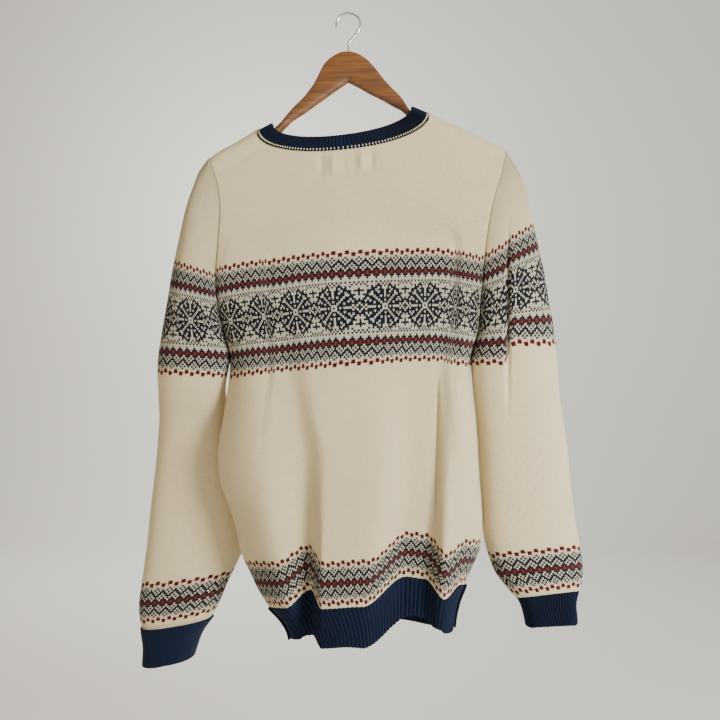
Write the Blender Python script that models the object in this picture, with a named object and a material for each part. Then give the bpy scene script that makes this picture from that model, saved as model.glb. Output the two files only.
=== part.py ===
"""A Norwegian sweater that hangs on a wooden hanger, seen from its back.

Run with: blender --background --python part.py

Heights and widths in the tables are millimetres. Z is measured down from the point
where the hook bears, X from the hanger's middle, and the back of the sweater faces -Y.
Outlines are given as they look from VIEW, a metre behind the back, so a point that
stands out towards that place is drawn in towards the line of sight by place().
"""
import math

import bpy
import numpy as np

MM = 0.001

# ---------------------------------------------------------------- driving sizes (mm)
VIEW = (16.0, -1100.0, -467.0)      # where the outlines are taken from
WALL = 2.8                          # knitted wall
SEAM_GAP = 0.3                      # between pieces that are sewn together
ARMHOLE_GAP = 0.48                  # each side of the armhole seam, which curves
SHOULDER_GAP = 0.9
HEM_GAP = 1.15                      # above the hem rib, whose columns are finer
RIB_HEIGHT = 0.9                    # how far a rib stands out of its wall
HEM_RIBS = 62                       # on each half
CUFF_RIBS = 28
NECK_RIBS = 78
BACK_COLUMNS = (8, 16, 8)           # left shoulder, neck, right shoulder
FRONT_COLUMNS = (8, 16, 8)
SLEEVE_COLUMNS = 18
EDGE_ROW = 0.7                      # height of the last row of faces at a shoulder seam
SHOULDER_RADIUS = 11.0              # cloth rolled over the hanger's top edge
FRONT_SHOULDER = 20.0               # along the cloth from the ridge to the front's roll
BODY_ROUNDNESS = 2.6                # exponent of the body's section, 2 is an ellipse
SLEEVE_ROUNDNESS = 2.3

HANGER_THICKNESS = 14.0
HANGER_END_THICKNESS = 11.0
HOOK_WIRE = 3.5
HOOK_RADIUS = 16.0                  # to the middle of the wire
HOOK_LOWER_BEND = 14.0
HOOK_TIP_ANGLE = 195.0              # degrees round from +X
HOOK_END_ANGLE = -40.0
HOOK_ROOT = -50.3                   # underside of the stem

HEM_TOP = -791.0                    # where the rib starts, at a middling height
HEM_BOTTOM = -845.0
YOKE = -262.0                       # above this, rows follow the shoulders
CHEST = -395.0                      # middle of the chest band
WAIST = -590.0

# ---------------------------------------------------------------- tables (mm)
# Body: where its sides are, how deep the back and front are, and how deep the
# armhole seams lie. Above the armpit the sides are the armhole seams.
BODY = (
    # height, left, right, back, front, seam
    (-192, -189, 213, 11.5, 11.5, 11.5),
    (-222, -179, 205, 12.5, 12.5, 12.0),
    (-250, -174, 197, 16, 16, 13.0),
    (-304, -176, 187, 24, 23, 14.0),
    (-348, -179, 182, 31, 29, 14.0),
    (-390, -176, 179, 37, 34, 12.0),
    (-430, -168, 175, 43, 39, 8.0),
    (-465, -160, 166, 47, 43, 0.0),
    (-508, -163, 165, 51, 46, 0.0),
    (-545, -169, 171, 54, 49, 0.0),
    (-586, -175.5, 174.5, 57, 51, 0.0),
    (-629, -173.5, 177, 60, 53, 0.0),
    (-660, -163, 180, 62, 54, 0.0),
    (-697, -151, 181, 64, 56, 0.0),
    (-724, -146, 177, 66, 57, 0.0),
    (-757, -131, 163, 68, 59, 0.0),
    (-778, -121, 155, 69, 60, 0.0),
    (-798, -108, 148.5, 70, 61, 0.0),
    (-818, -93, 144, 71, 62, 0.0),
    (-845, -80, 141, 72, 62, 0.0),
    (-870, -76, 138, 72, 62, 0.0),
)
# Folds of the back: where each runs at three heights, how far it stands out there,
# and how far the rows rise on it at the chest and at the hem.
BACK_FOLDS = (
    # name, x at chest, waist, hem, out at chest, waist, hem, rise at chest, hem
    ("left side", -186, -178, -118, 0, 0, 0, -24, -10),
    ("left roll", -140, -139, -84, 1, 5, 5, -15, -12),
    ("left groove", -95, -62, -53, -3, -6, -18, -10, 13),
    ("broad roll, left", -70, -38, -28, 0, 3, 8, -6, -13),
    ("broad roll, right", 20, 40, 18, 0, 4, 7, 1, -10),
    ("right groove, left", 90, 94, 78, 0, -8, -27, 3, 31),
    ("right groove, right", 128, 116, 102, -1, -9, -24, 3, 28),
    ("right roll", 148, 142, 130, 1, 6, 8, 0, 0),
    ("right side", 182, 178, 152, 0, 0, 0, -7, 20),
)
FRONT_FOLDS = (
    ("left side", -186, -178, -118, 0, 0, 0, -24, -10),
    ("left roll", -120, -110, -80, 0, 3, 6, -16, -12),
    ("left groove", -60, -55, -45, 0, -4, -12, -8, 8),
    ("middle roll", 0, 10, 15, 0, 4, 8, -2, -6),
    ("right groove", 70, 70, 70, 0, -4, -14, 2, 12),
    ("right roll", 130, 125, 118, 0, 3, 6, 0, 2),
    ("right side", 182, 178, 152, 0, 0, 0, -7, 20),
)
FOLD_LEVELS = (CHEST, WAIST, -800.0)

# Ridge: the top of the cloth over the hanger, seen from the back.
RIDGE = (
    # x, height
    (-238, -330), (-225, -270), (-216, -250), (-209, -231), (-201, -211), (-192, -199),
    (-181, -190), (-147, -170), (-119, -153), (-100, -143), (85, -122), (105, -131),
    (144, -150), (186, -170), (213, -185), (224, -197), (231, -213), (238, -231),
    (243, -251),
)
ARMHOLE_TOP = {"left": (-188.5, -195.5), "right": (213.0, -185.5)}
# Shoulder seams lie this far down the back from the ridge.
SEAM_DROP = {"left": 27.0, "right": 9.0}

# Neckline: ends on the ridge, and the sag of each edge of the band below its chord.
NECK = {
    "outer": {"left": (-119, -154), "right": (105, -131), "back": 35.0, "front": 88.0},
    "inner": {"left": (-102.5, -145.5), "right": (86, -123), "back": 27.5, "front": 70.0},
}
NECK_ROUNDNESS = 2.2
NECK_CLEARANCE = {"back": 1.6, "front": 4.6}    # from the band out to the panels' neckline
# Where each shoulder seam meets the neckline.
SEAM_START = {"left": -105.0, "right": 106.0}

# Sleeves: outer and inner edge, depth to each side, how far forward the middle lies,
# and the rise of the rows at the outer and inner edge. The inner edge above the
# armpit is the armhole seam.
SLEEVES = {
    "left": (
        # height, outer, inner, depth, forward, outer rise, inner rise
        (-196, -190, -188.5, 10, 0, 2, 0),
        (-213, -202, -184, 11.5, 0, 3, -3),
        (-231, -209, -177, 13.5, 0, 4, -6),
        (-250, -216, -174, 16, 0, 5, -8),
        (-304, -229, -176, 22, 0, 6, -12),
        (-348, -238, -179, 27, 0, 6, -12),
        (-390, -245, -176, 30, 0, 4, -8),
        (-430, -252, -168, 32, 0, 3, -5),
        (-465, -257, -160.8, 33, 1, 2, -4),
        (-508, -259, -168, 34, 14, 0, -3),
        (-545, -263, -164, 34, 37, -1, -2),
        (-586, -269, -156, 33, 50, -2, -1),
        (-629, -274, -152, 33, 54, -3, 0),
        (-671, -279, -148, 33, 52, -5, 2),
        (-710, -282, -146, 32, 47, -8, 3),
        (-737, -284, -150, 32, 42, -10, 4),
        (-757, -286, -159, 31, 38, -11, 5),
        (-778, -288, -169, 30, 34, -12, 6),
        (-798, -290, -177, 29, 30, -11, 7),
        (-818, -289, -187, 27, 27, -9, 8),
        (-840, -284, -199, 26, 25, -8, 8),
        (-858, -280, -203, 25, 24, -7, 7),
        (-890, -281, -207, 25, 24, -7, 7),
    ),
    "right": (
        (-186, 214.5, 213, 10, 0, 2, 0),
        (-211, 229.5, 208, 11.5, 0, 6, -6),
        (-231, 238, 203, 13.5, 0, 10, -9),
        (-250, 243, 197, 16, 0, 14, -12),
        (-304, 255, 187, 22, 0, 22, -20),
        (-348, 265, 182, 27, 0, 24, -20),
        (-390, 272, 179, 31, 0, 24, -16),
        (-430, 279, 175, 33, 0, 22, -12),
        (-465, 283, 166.8, 34, 2, 18, -8),
        (-508, 287, 170, 35, 10, 15, -5),
        (-545, 293, 174.5, 35, 14, 12, -4),
        (-586, 299, 177.5, 35, 15, 9, -4),
        (-629, 303, 180, 34, 15, 7, -4),
        (-671, 308, 183, 33, 14, 6, -5),
        (-697, 312, 184, 32, 14, 6, -5),
        (-717, 316, 187, 31, 14, 5, -6),
        (-737, 319, 193, 30, 14, 5, -6),
        (-757, 320, 201, 29, 14, 5, -6),
        (-778, 317, 217, 27, 14, 5, -6),
        (-798, 312, 233, 25, 14, 4, -5),
        (-818, 313, 240, 24, 14, 3, -2),
        (-850, 314, 244, 24, 14, 3, 0),
    ),
}
ARMPIT = {"left": -465.0, "right": -465.0}
CUFF = {
    # top and bottom of the rib, at a middling height
    "left": {"top": -828.0, "bottom": -875.0},
    "right": {"top": -783.0, "bottom": -829.0},
}

# Hanger: its top and bottom edge.
HANGER = (
    # x, top, bottom
    (-192, -211, -215), (-189, -204.5, -219), (-180, -197, -217), (-165, -186.5, -206),
    (-147, -176, -194), (-119, -164.5, -178), (-105, -158, -171), (-94, -149, -163),
    (-75, -127, -144), (-59, -111, -134), (-44, -90, -123), (-34, -70, -116),
    (-19, -56, -105), (0, -50.6, -92), (14, -54, -99), (26, -62, -106),
    (38, -75, -112), (48, -88, -117), (60, -101, -124), (72, -113, -130),
    (84, -131, -142), (103, -141.5, -152), (122, -147.5, -160), (144, -156.5, -169),
    (186, -176.5, -191), (205, -187, -203), (213, -193, -206), (216, -197, -203),
)


# ---------------------------------------------------------------- small maths
def curve(points, x):
    """A smooth line through (x, value) points, read at x."""
    xs, ys = (np.array(column, dtype=float) for column in zip(*points))
    order = np.argsort(xs)
    xs, ys = xs[order], ys[order]
    slopes = np.gradient(ys, xs)
    x = np.clip(np.asarray(x, dtype=float), xs[0], xs[-1])
    k = np.clip(np.searchsorted(xs, x) - 1, 0, len(xs) - 2)
    step = xs[k + 1] - xs[k]
    t = (x - xs[k]) / step
    t2, t3 = t * t, t * t * t
    return ((2 * t3 - 3 * t2 + 1) * ys[k] + (t3 - 2 * t2 + t) * step * slopes[k]
            + (3 * t2 - 2 * t3) * ys[k + 1] + (t3 - t2) * step * slopes[k + 1])


def column(table, number, z):
    return curve([(row[0], row[number]) for row in table], z)


def ease(t):
    t = np.clip(t, 0.0, 1.0)
    return t * t * (3 - 2 * t)


def waves(extremes, x):
    """A line that eases from each (x, value) to the next."""
    xs, ys = (np.array(part, dtype=float) for part in zip(*extremes))
    x = np.clip(np.asarray(x, dtype=float), xs[0], xs[-1])
    k = np.clip(np.searchsorted(xs, x) - 1, 0, len(xs) - 2)
    return ys[k] + (ys[k + 1] - ys[k]) * ease((x - xs[k]) / (xs[k + 1] - xs[k]))


def place(x, y, z):
    """World coordinates, in metres, of a point that looks as if it were at x, z."""
    shrink = 1.0 + np.minimum(y, 0.0) / -VIEW[1]
    return np.stack([(VIEW[0] + (x - VIEW[0]) * shrink) * MM,
                     np.asarray(y) * MM,
                     (VIEW[2] + (z - VIEW[2]) * shrink) * MM], axis=-1)


# ---------------------------------------------------------------- the body's form
def fold_lines(folds, z):
    """x and outward distance of each fold at height z."""
    levels = FOLD_LEVELS[::-1]
    lines = []
    for _, x0, x1, x2, out0, out1, out2, _, _ in folds:
        lines.append((np.interp(z, levels, (x2, x1, x0)), np.interp(z, levels, (out2, out1, out0))))
    return lines


def fold_out(folds, x, z):
    fade = ease((YOKE - z) / (YOKE - CHEST))
    return waves(fold_lines(folds, z), x) * fade


def row_rise(folds, x, z):
    """How far a row lies above its middling height."""
    low = ease((z - CHEST) / (HEM_TOP - CHEST)) ** 1.2
    xs = [point[0] for point in fold_lines(folds, z)]
    chest = curve([(place_x, fold[7]) for place_x, fold in zip(xs, folds)], x)
    hem = waves([(place_x, fold[8]) for place_x, fold in zip(xs, folds)], x)
    return chest * (1 - low) + hem * low


def edge(number, z, rise):
    return float(column(BODY, number, z + rise))


def body_sides(z):
    """Left and right end of the row whose middling height is z."""
    left = edge(1, z, float(row_rise(BACK_FOLDS, column(BODY, 1, z), z)))
    right = edge(2, z, float(row_rise(BACK_FOLDS, column(BODY, 2, z), z)))
    return left, right


def roll(s):
    """Drop below the ridge, and share of the full depth, at s along the cloth."""
    s = np.abs(s)
    turn = SHOULDER_RADIUS * math.pi / 2
    angle = np.minimum(s, turn) / SHOULDER_RADIUS
    return SHOULDER_RADIUS * (1 - np.cos(angle)) + np.maximum(s - turn, 0.0), np.sin(angle)


def along_roll(drop):
    """The s of roll() for a drop below the ridge."""
    drop = np.asarray(drop, dtype=float)
    inside = np.clip(1 - drop / SHOULDER_RADIUS, -1, 1)
    turn = SHOULDER_RADIUS * math.pi / 2
    return np.where(drop < SHOULDER_RADIUS, SHOULDER_RADIUS * np.arccos(inside),
                    turn + drop - SHOULDER_RADIUS)


def body_depth(z, cover, facing):
    """Distance from the middle plane; cover runs from 0 at a side to 1."""
    full = column(BODY, 3 if facing < 0 else 4, z)
    seam = column(BODY, 5, z)
    return seam + (full - seam) * cover


def body_row(z, shares, facing):
    """Points of one row below the yoke, at shares 0 to 1 of its length."""
    folds = BACK_FOLDS if facing < 0 else FRONT_FOLDS
    left, right = body_sides(z)
    middle, half = (left + right) / 2, (right - left) / 2
    power = 2 / BODY_ROUNDNESS

    def plan(angle):
        sine = np.sin(angle)
        x = middle + half * np.sign(sine) * np.abs(sine) ** power
        cover = np.maximum(np.cos(angle), 0.0) ** power
        out = body_depth(z, cover, facing) + fold_out(folds, x, z) * cover
        return x, facing * out

    angles = np.linspace(-math.pi / 2, math.pi / 2, 361)
    x, y = plan(angles)
    length = np.concatenate([[0], np.cumsum(np.hypot(np.diff(x), np.diff(y)))])
    by_length = np.interp(shares * length[-1], length, angles)
    across = 2 * shares - 1
    by_width = np.arcsin(np.sign(across) * np.abs(across) ** (1 / power))
    blend = ease((YOKE - z) / (YOKE - CHEST))
    x, y = plan(by_width + (by_length - by_width) * blend)
    y = facing * np.maximum(np.abs(y), SEAM_GAP / 2)
    x = np.clip(x, left + ARMHOLE_GAP, right - ARMHOLE_GAP)
    return place(x, y, z + row_rise(folds, x, z))


def yoke_point(share, s, neck_end=None):
    """A point of the shoulders at s along the cloth from the ridge, s < 0 on the back.

    share runs across the whole yoke, or with neck_end from the armhole to that x.
    """
    hand = 0 if neck_end is None else np.sign(neck_end)
    x = 0.0 if neck_end is None else neck_end
    for _ in range(8):
        z = curve(RIDGE, x) - roll(s)[0]
        left = column(BODY, 1, z) + ARMHOLE_GAP
        right = column(BODY, 2, z) - ARMHOLE_GAP
        if hand < 0:
            right = neck_end
        if hand > 0:
            left = neck_end
        x = left + (right - left) * share
    full = column(BODY, 1, z), column(BODY, 2, z)
    across = min(abs(2 * (x - full[0]) / (full[1] - full[0]) - 1), 1.0)
    cover = (1 - across ** BODY_ROUNDNESS) ** (1 / BODY_ROUNDNESS)
    side = -1 if s < 0 else 1
    return place(x, side * body_depth(z, cover, side) * roll(s)[1], z)


def neckline(side, x):
    """Height of a panel's neckline at x."""
    edge_of = NECK["outer"]
    (x0, z0), (x1, z1) = edge_of["left"], edge_of["right"]
    t = (x - (x0 + x1) / 2) / ((x1 - x0) / 2 + NECK_CLEARANCE[side])
    chord = z0 + (z1 - z0) * (x - x0) / (x1 - x0)
    sag = (1 - min(abs(t), 1.0) ** NECK_ROUNDNESS) ** (1 / NECK_ROUNDNESS)
    return chord - (edge_of[side] + NECK_CLEARANCE[side]) * sag


# ---------------------------------------------------------------- meshes
def material(name, colour, roughness, metallic=0.0):
    """A Principled material from an sRGB colour."""
    made = bpy.data.materials.new(name)
    made.use_nodes = True
    linear = [c / 12.92 if c <= 0.04045 else ((c + 0.055) / 1.055) ** 2.4
              for c in (part / 255 for part in colour)]
    shader = made.node_tree.nodes["Principled BSDF"]
    shader.inputs["Base Color"].default_value = (*linear, 1.0)
    shader.inputs["Roughness"].default_value = roughness
    shader.inputs["Metallic"].default_value = metallic
    made.diffuse_color = (*linear, 1.0)
    return made


def add_object(name, points, faces, finish, sharp=50.0):
    mesh = bpy.data.meshes.new(name)
    mesh.from_pydata([tuple(point) for point in points], [], faces)
    mesh.validate()
    mesh.materials.append(finish)
    mesh.shade_smooth()
    mesh.set_sharp_from_angle(angle=math.radians(sharp))
    made = bpy.data.objects.new(name, mesh)
    bpy.context.scene.collection.objects.link(made)
    return made


def grid_faces(rows, columns, closed=False):
    faces = []
    across = columns if closed else columns - 1
    for j in range(rows - 1):
        for i in range(across):
            nxt = (i + 1) % columns
            a, b = j * columns + i, j * columns + nxt
            faces.append((a, b, b + columns, a + columns))
    return faces


def merge_points(points, faces, close=0.02 * MM):
    """Joins points that fall together and drops the faces that vanish."""
    number = {}
    new_points, index = [], []
    for point in points:
        key = tuple(np.round(np.asarray(point) / close).astype(int))
        if key not in number:
            number[key] = len(new_points)
            new_points.append(point)
        index.append(number[key])
    new_faces = []
    for face in faces:
        kept = []
        for corner in face:
            if index[corner] not in kept:
                kept.append(index[corner])
        if len(kept) > 2:
            new_faces.append(tuple(kept))
    return np.array(new_points), new_faces


def point_normals(points, faces):
    normals = np.zeros_like(points)
    for face in faces:
        corners = points[list(face)]
        middle = corners.mean(axis=0)
        total = np.zeros(3)
        for k in range(len(face)):
            total += np.cross(corners[k] - middle, corners[(k + 1) % len(face)] - middle)
        for corner in face:
            normals[corner] += total
    lengths = np.linalg.norm(normals, axis=1)
    return normals / np.maximum(lengths, 1e-12)[:, None]


def border_edges(faces):
    """Edges that belong to one face only, in that face's direction."""
    seen = {}
    for face in faces:
        for k in range(len(face)):
            a, b = face[k], face[(k + 1) % len(face)]
            seen[(a, b)] = True
    return [pair for pair in seen if (pair[1], pair[0]) not in seen]


def keep_to_side(points, facing):
    """Holds a panel's points on its own side of the side seams."""
    below = points[:, 2] < ARMPIT["left"] * MM
    held = facing * np.maximum(facing * points[:, 1], SEAM_GAP / 2 * MM)
    points[below, 1] = held[below]
    return points


def level(normals):
    """The same normals turned level, for an edge that meets a rib."""
    flat = normals * (1.0, 1.0, 0.0)
    return flat / np.maximum(np.linalg.norm(flat, axis=1), 1e-9)[:, None]


def wall(name, points, faces, finish, bottom_count, facing=0):
    """A closed wall whose outer side is the given surface."""
    points, faces = merge_points(points, faces)
    normals = point_normals(points, faces)
    normals[:bottom_count] = level(normals[:bottom_count])
    inner = points - normals * WALL * MM
    if facing:
        inner = keep_to_side(inner, facing)
    count = len(points)
    all_faces = list(faces)
    all_faces += [tuple(corner + count for corner in reversed(face)) for face in faces]
    all_faces += [(b, a, a + count, b + count) for a, b in border_edges(faces)]
    return add_object(name, np.vstack([points, inner]), all_faces, finish)


def strip(lower, upper, shares_lower, shares_upper, flip=False):
    """Triangles between two open rows of points with different counts."""
    faces = []
    i = j = 0
    while i < len(lower) - 1 or j < len(upper) - 1:
        step_lower = j == len(upper) - 1 or (
            i < len(lower) - 1 and shares_lower[i + 1] <= shares_upper[j + 1])
        if step_lower:
            face = (lower[i], lower[i + 1], upper[j])
            i += 1
        else:
            face = (lower[i], upper[j + 1], upper[j])
            j += 1
        faces.append(tuple(reversed(face)) if flip else face)
    return faces


def ribbed_wall(name, row_at, rows, ribs, plain_columns, closed, finish, facing=0,
                levelled=True):
    """A wall with ribs raised on its outer side over a plain inner side.

    row_at(v, shares) gives a row of points of the outer surface without ribs.
    """
    rib_columns = 2 * ribs if closed else 2 * ribs + 1
    outer_shares = np.linspace(0, 1, 2 * ribs + 1)[:rib_columns]
    inner_shares = np.linspace(0, 1, plain_columns + 1)
    if closed:
        inner_shares = inner_shares[:-1]
    heights = np.linspace(0, 1, rows)

    def surface(shares):
        points = np.vstack([row_at(v, shares) for v in heights])
        faces = grid_faces(rows, len(shares), closed)
        return points, point_normals(points, faces)

    outer, outer_normals = surface(outer_shares)
    inner, inner_normals = surface(inner_shares)
    if levelled:
        outer_normals, inner_normals = level(outer_normals), level(inner_normals)
    crest = np.tile(np.arange(rib_columns) % 2, rows)[:, None]
    outer = outer - outer_normals * (1 - crest) * RIB_HEIGHT * MM
    inner = inner - inner_normals * (WALL + RIB_HEIGHT * 0.5) * MM
    if facing:
        outer, inner = keep_to_side(outer, facing), keep_to_side(inner, facing)
    n_outer, n_inner = len(outer_shares), len(inner_shares)
    faces = grid_faces(rows, n_outer, closed)
    start = rows * n_outer
    faces += [tuple(start + corner for corner in reversed(face))
              for face in grid_faces(rows, n_inner, closed)]
    ends = [0], [0]
    if not closed:
        ends = [], []
    for row, flip in ((0, True), (rows - 1, False)):
        outer_row = [row * n_outer + k for k in list(range(n_outer)) + ends[0]]
        inner_row = [start + row * n_inner + k for k in list(range(n_inner)) + ends[1]]
        extra = [1.0] if closed else []
        faces += strip(outer_row, inner_row, list(outer_shares) + extra,
                       list(inner_shares) + extra, flip)
    if not closed:
        for j in range(rows - 1):
            a, b = j * n_outer, (j + 1) * n_outer
            c, d = start + j * n_inner, start + (j + 1) * n_inner
            faces.append((a, b, d, c))
            faces.append((c + n_inner - 1, d + n_inner - 1, b + n_outer - 1, a + n_outer - 1))
    return add_object(name, np.vstack([outer, inner]), faces, finish, 60.0)


# ---------------------------------------------------------------- the pieces
def column_shares(counts, corners):
    """Shares across a panel, with a column on each end of the neckline."""
    left, right = ARMHOLE_TOP["left"][0], ARMHOLE_TOP["right"][0]
    ends = [(x - left) / (right - left) for x in corners]
    even = np.linspace(0, 1, counts[1] + 1)
    neck = 0.5 * even + 0.25 * (1 - np.cos(math.pi * even))
    return np.concatenate([np.linspace(0, ends[0], counts[0] + 1)[:-1],
                           ends[0] + (ends[1] - ends[0]) * neck,
                           np.linspace(ends[1], 1, counts[2] + 1)[1:]])


def front_corners():
    return [NECK["outer"]["left"][0] - NECK_CLEARANCE["front"],
            NECK["outer"]["right"][0] + NECK_CLEARANCE["front"]]


def panel_shares(facing):
    if facing < 0:
        return column_shares(BACK_COLUMNS, (SEAM_START["left"], SEAM_START["right"]))
    return column_shares(FRONT_COLUMNS, front_corners())


def yoke_base(share):
    """s along the cloth, from the ridge down to the height where the yoke starts."""
    left, right = column(BODY, 1, YOKE), column(BODY, 2, YOKE)
    return float(along_roll(curve(RIDGE, left + (right - left) * share) - YOKE))


def panel_body(shares, rows, facing):
    """Rows from the hem seam to the yoke."""
    return [body_row(z, shares, facing) for z in np.linspace(HEM_TOP + HEM_GAP, YOKE, rows)]


def add_back(finish):
    counts = BACK_COLUMNS
    shares = panel_shares(-1)
    width = ARMHOLE_TOP["right"][0] - ARMHOLE_TOP["left"][0]
    rows = panel_body(shares, 19, -1)
    tops = []
    for k, share in enumerate(shares):
        x = ARMHOLE_TOP["left"][0] + width * share
        if counts[0] < k < counts[0] + counts[1]:
            drop = float(curve(RIDGE, x)) - neckline("back", x)
        else:
            drop = SEAM_DROP["left" if x < 0 else "right"]
        tops.append(float(along_roll(drop)) + SHOULDER_GAP / 2)
    for step in (0.3, 0.6, 0.85):
        rows.append(np.array([yoke_point(share, -(yoke_base(share) * (1 - step) + top * step))
                              for share, top in zip(shares, tops)]))
    for short in (EDGE_ROW, 0.0):
        rows.append(np.array([yoke_point(share, -top - short)
                              for share, top in zip(shares, tops)]))
    faces = grid_faces(len(rows), len(shares))
    return wall("back_panel", np.vstack(rows), faces, finish, len(shares), -1)


def add_front(finish):
    """The front, whose shoulders pass over the ridge to seams on the back."""
    counts = FRONT_COLUMNS
    corners = front_corners()
    shares = panel_shares(1)
    width = ARMHOLE_TOP["right"][0] - ARMHOLE_TOP["left"][0]
    rows = panel_body(shares, 14, 1)
    tops = []
    for k, share in enumerate(shares):
        x = ARMHOLE_TOP["left"][0] + width * share
        if counts[0] < k < counts[0] + counts[1]:
            tops.append(float(along_roll(curve(RIDGE, x) - neckline("front", x))))
        else:
            tops.append(FRONT_SHOULDER)
    for step in (0.3, 0.6, 0.85, 1.0):
        rows.append(np.array([yoke_point(share, yoke_base(share) * (1 - step) + top * step)
                              for share, top in zip(shares, tops)]))
    points = list(np.vstack(rows))
    faces = grid_faces(len(rows), len(shares))
    top_row = (len(rows) - 1) * len(shares)
    for side, first, last in (("left", 0, counts[0]), ("right", counts[0] + counts[1],
                                                       len(shares) - 1)):
        below = [top_row + k for k in range(first, last + 1)]
        corner = corners[0] if side == "left" else corners[1]
        end = -float(along_roll(SEAM_DROP[side])) + SHOULDER_GAP / 2
        turn = SHOULDER_RADIUS * math.pi / 2
        levels = [turn * step / 4 for step in (3.8, 3, 2, 1, 0, -1, -2, -3)]
        levels = [s for s in levels if s > end + 2] + [end + EDGE_ROW, end]
        for s in levels:
            neck_end = corner + (SEAM_START[side] - corner) * (max(-s, 0.0) / -end) ** 2.4
            along = np.linspace(0, 1, len(below))
            start = len(points)
            points += [yoke_point(share, s, neck_end) for share in along]
            row = [start + k for k in range(len(below))]
            faces += [(below[k], below[k + 1], row[k + 1], row[k]) for k in range(len(row) - 1)]
            below = row
    faces = [tuple(reversed(face)) for face in faces]
    return wall("front_panel", np.array(points), faces, finish, len(shares), 1)


def sleeve_row(side, z, shares):
    """Points round a sleeve from the back seam over the outer edge to the front seam."""
    table = SLEEVES[side]
    hand = -1 if side == "left" else 1
    rise = [float(column(table, number, z)) for number in (5, 6)]
    outer = float(column(table, 1, z + rise[0]))
    above = z > ARMPIT[side]
    inner = float(column(table, 2, z + (0.0 if above else rise[1])))
    depth, forward = float(column(table, 3, z)), float(column(table, 4, z))
    seam = 0.0
    if above:
        body = column(BODY, 5, z)
        drop = max(ARMHOLE_TOP[side][1] - z, 0.0)
        seam = float(body * roll(along_roll(drop))[1])
        depth = max(depth * float(roll(along_roll(drop + 2.0))[1]), seam * 1.02)
    power = SLEEVE_ROUNDNESS
    cut = (1 - (seam / depth) ** power) ** (1 / power)
    half = abs(outer - inner) / (1 + cut)
    middle = outer - hand * half
    start = math.acos(cut ** (power / 2))
    angles = np.linspace(start, 2 * math.pi - start, 361)
    cosine, sine = np.cos(angles), np.sin(angles)
    x = middle - hand * half * np.sign(cosine) * np.abs(cosine) ** (2 / power)
    y = forward - depth * np.sign(sine) * np.abs(sine) ** (2 / power)
    length = np.concatenate([[0], np.cumsum(np.hypot(np.diff(x), np.diff(y)))])
    x = np.interp(shares * length[-1], length, x)
    y = np.interp(shares * length[-1], length, y)
    across = (x - inner) / (outer - inner)
    if above:
        x = x + hand * ARMHOLE_GAP * (1 - ease(np.minimum(across * 20, 1.0)))
    return place(x, y, z + rise[1] + (rise[0] - rise[1]) * across)


def add_sleeve(side, around, lower_rows, upper_rows, finish):
    """A tube below the armpit that opens along the armhole seam above it."""
    shares = np.linspace(0, 1, around + 1)
    bottom = CUFF[side]["top"] + SEAM_GAP
    heights = list(np.linspace(bottom, ARMPIT[side], lower_rows))
    top = ARMHOLE_TOP[side][1] - 1.0
    steps = np.linspace(0, 1, upper_rows + 1)[1:]
    heights += list(ARMPIT[side] + (top - ARMPIT[side]) * (1 - (1 - steps) ** 1.25))
    points = np.vstack([sleeve_row(side, z, shares) for z in heights])
    faces = grid_faces(len(heights), around + 1)
    if side == "left":
        faces = [tuple(reversed(face)) for face in faces]
    return wall("sleeve_" + side, points, faces, finish, around)


def along_chords(row, knots, shares):
    """Points on the straight runs between a coarser row's points."""
    return np.stack([np.interp(shares, knots, row[:, k]) for k in range(3)], axis=1)


def add_cuff(side, finish):
    levels = CUFF[side]

    def row_at(v, shares):
        z = levels["bottom"] + (levels["top"] - levels["bottom"]) * v
        knots = np.linspace(0, 1, SLEEVE_COLUMNS + 1)
        return along_chords(sleeve_row(side, z, knots), knots,
                            shares if side == "right" else 1 - shares)

    return ribbed_wall("cuff_" + side, row_at, 3, CUFF_RIBS, CUFF_RIBS, True, finish)


def add_hem(name, facing, finish):
    def row_at(v, shares):
        z = HEM_BOTTOM + (HEM_TOP - HEM_BOTTOM) * v
        knots = panel_shares(facing)
        return along_chords(body_row(z, knots, facing), knots,
                            shares if facing < 0 else 1 - shares)

    return ribbed_wall(name, row_at, 4, HEM_RIBS, 40, False, finish, facing)


def neck_point(v, share):
    """A point of the neckband: v from 0 at the seam to 1 at the free edge."""
    angle = 2 * math.pi * share
    sine, cosine = math.sin(angle), math.cos(angle)
    side = "back" if sine >= 0 else "front"
    across = -math.copysign(abs(cosine) ** (2 / NECK_ROUNDNESS), cosine)
    sag = abs(sine) ** (2 / NECK_ROUNDNESS)
    ends = []
    for which in ("outer", "inner"):
        edge_of = NECK[which]
        (x0, z0), (x1, z1) = edge_of["left"], edge_of["right"]
        x = (x0 + x1) / 2 + across * (x1 - x0) / 2
        chord = (z0 + z1) / 2 + across * (z1 - z0) / 2
        ends.append((x, chord - edge_of[side] * sag))
    x = ends[0][0] + (ends[1][0] - ends[0][0]) * v
    z = ends[0][1] + (ends[1][1] - ends[0][1]) * v
    ridge = float(curve(RIDGE, x))
    drop = max(ridge - z, 0.0)
    share_of_depth = float(roll(along_roll(drop))[1])
    depth = float(column(BODY, 3, z)) + (2.0 if side == "front" else 0.5)
    sign = -1 if side == "back" else 1
    return place(x, sign * depth * share_of_depth, z)


def add_neckband(finish):
    def row_at(v, shares):
        return np.array([neck_point(v, share) for share in shares])

    return ribbed_wall("neckband", row_at, 4, NECK_RIBS, 60, True, finish, levelled=False)


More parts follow.
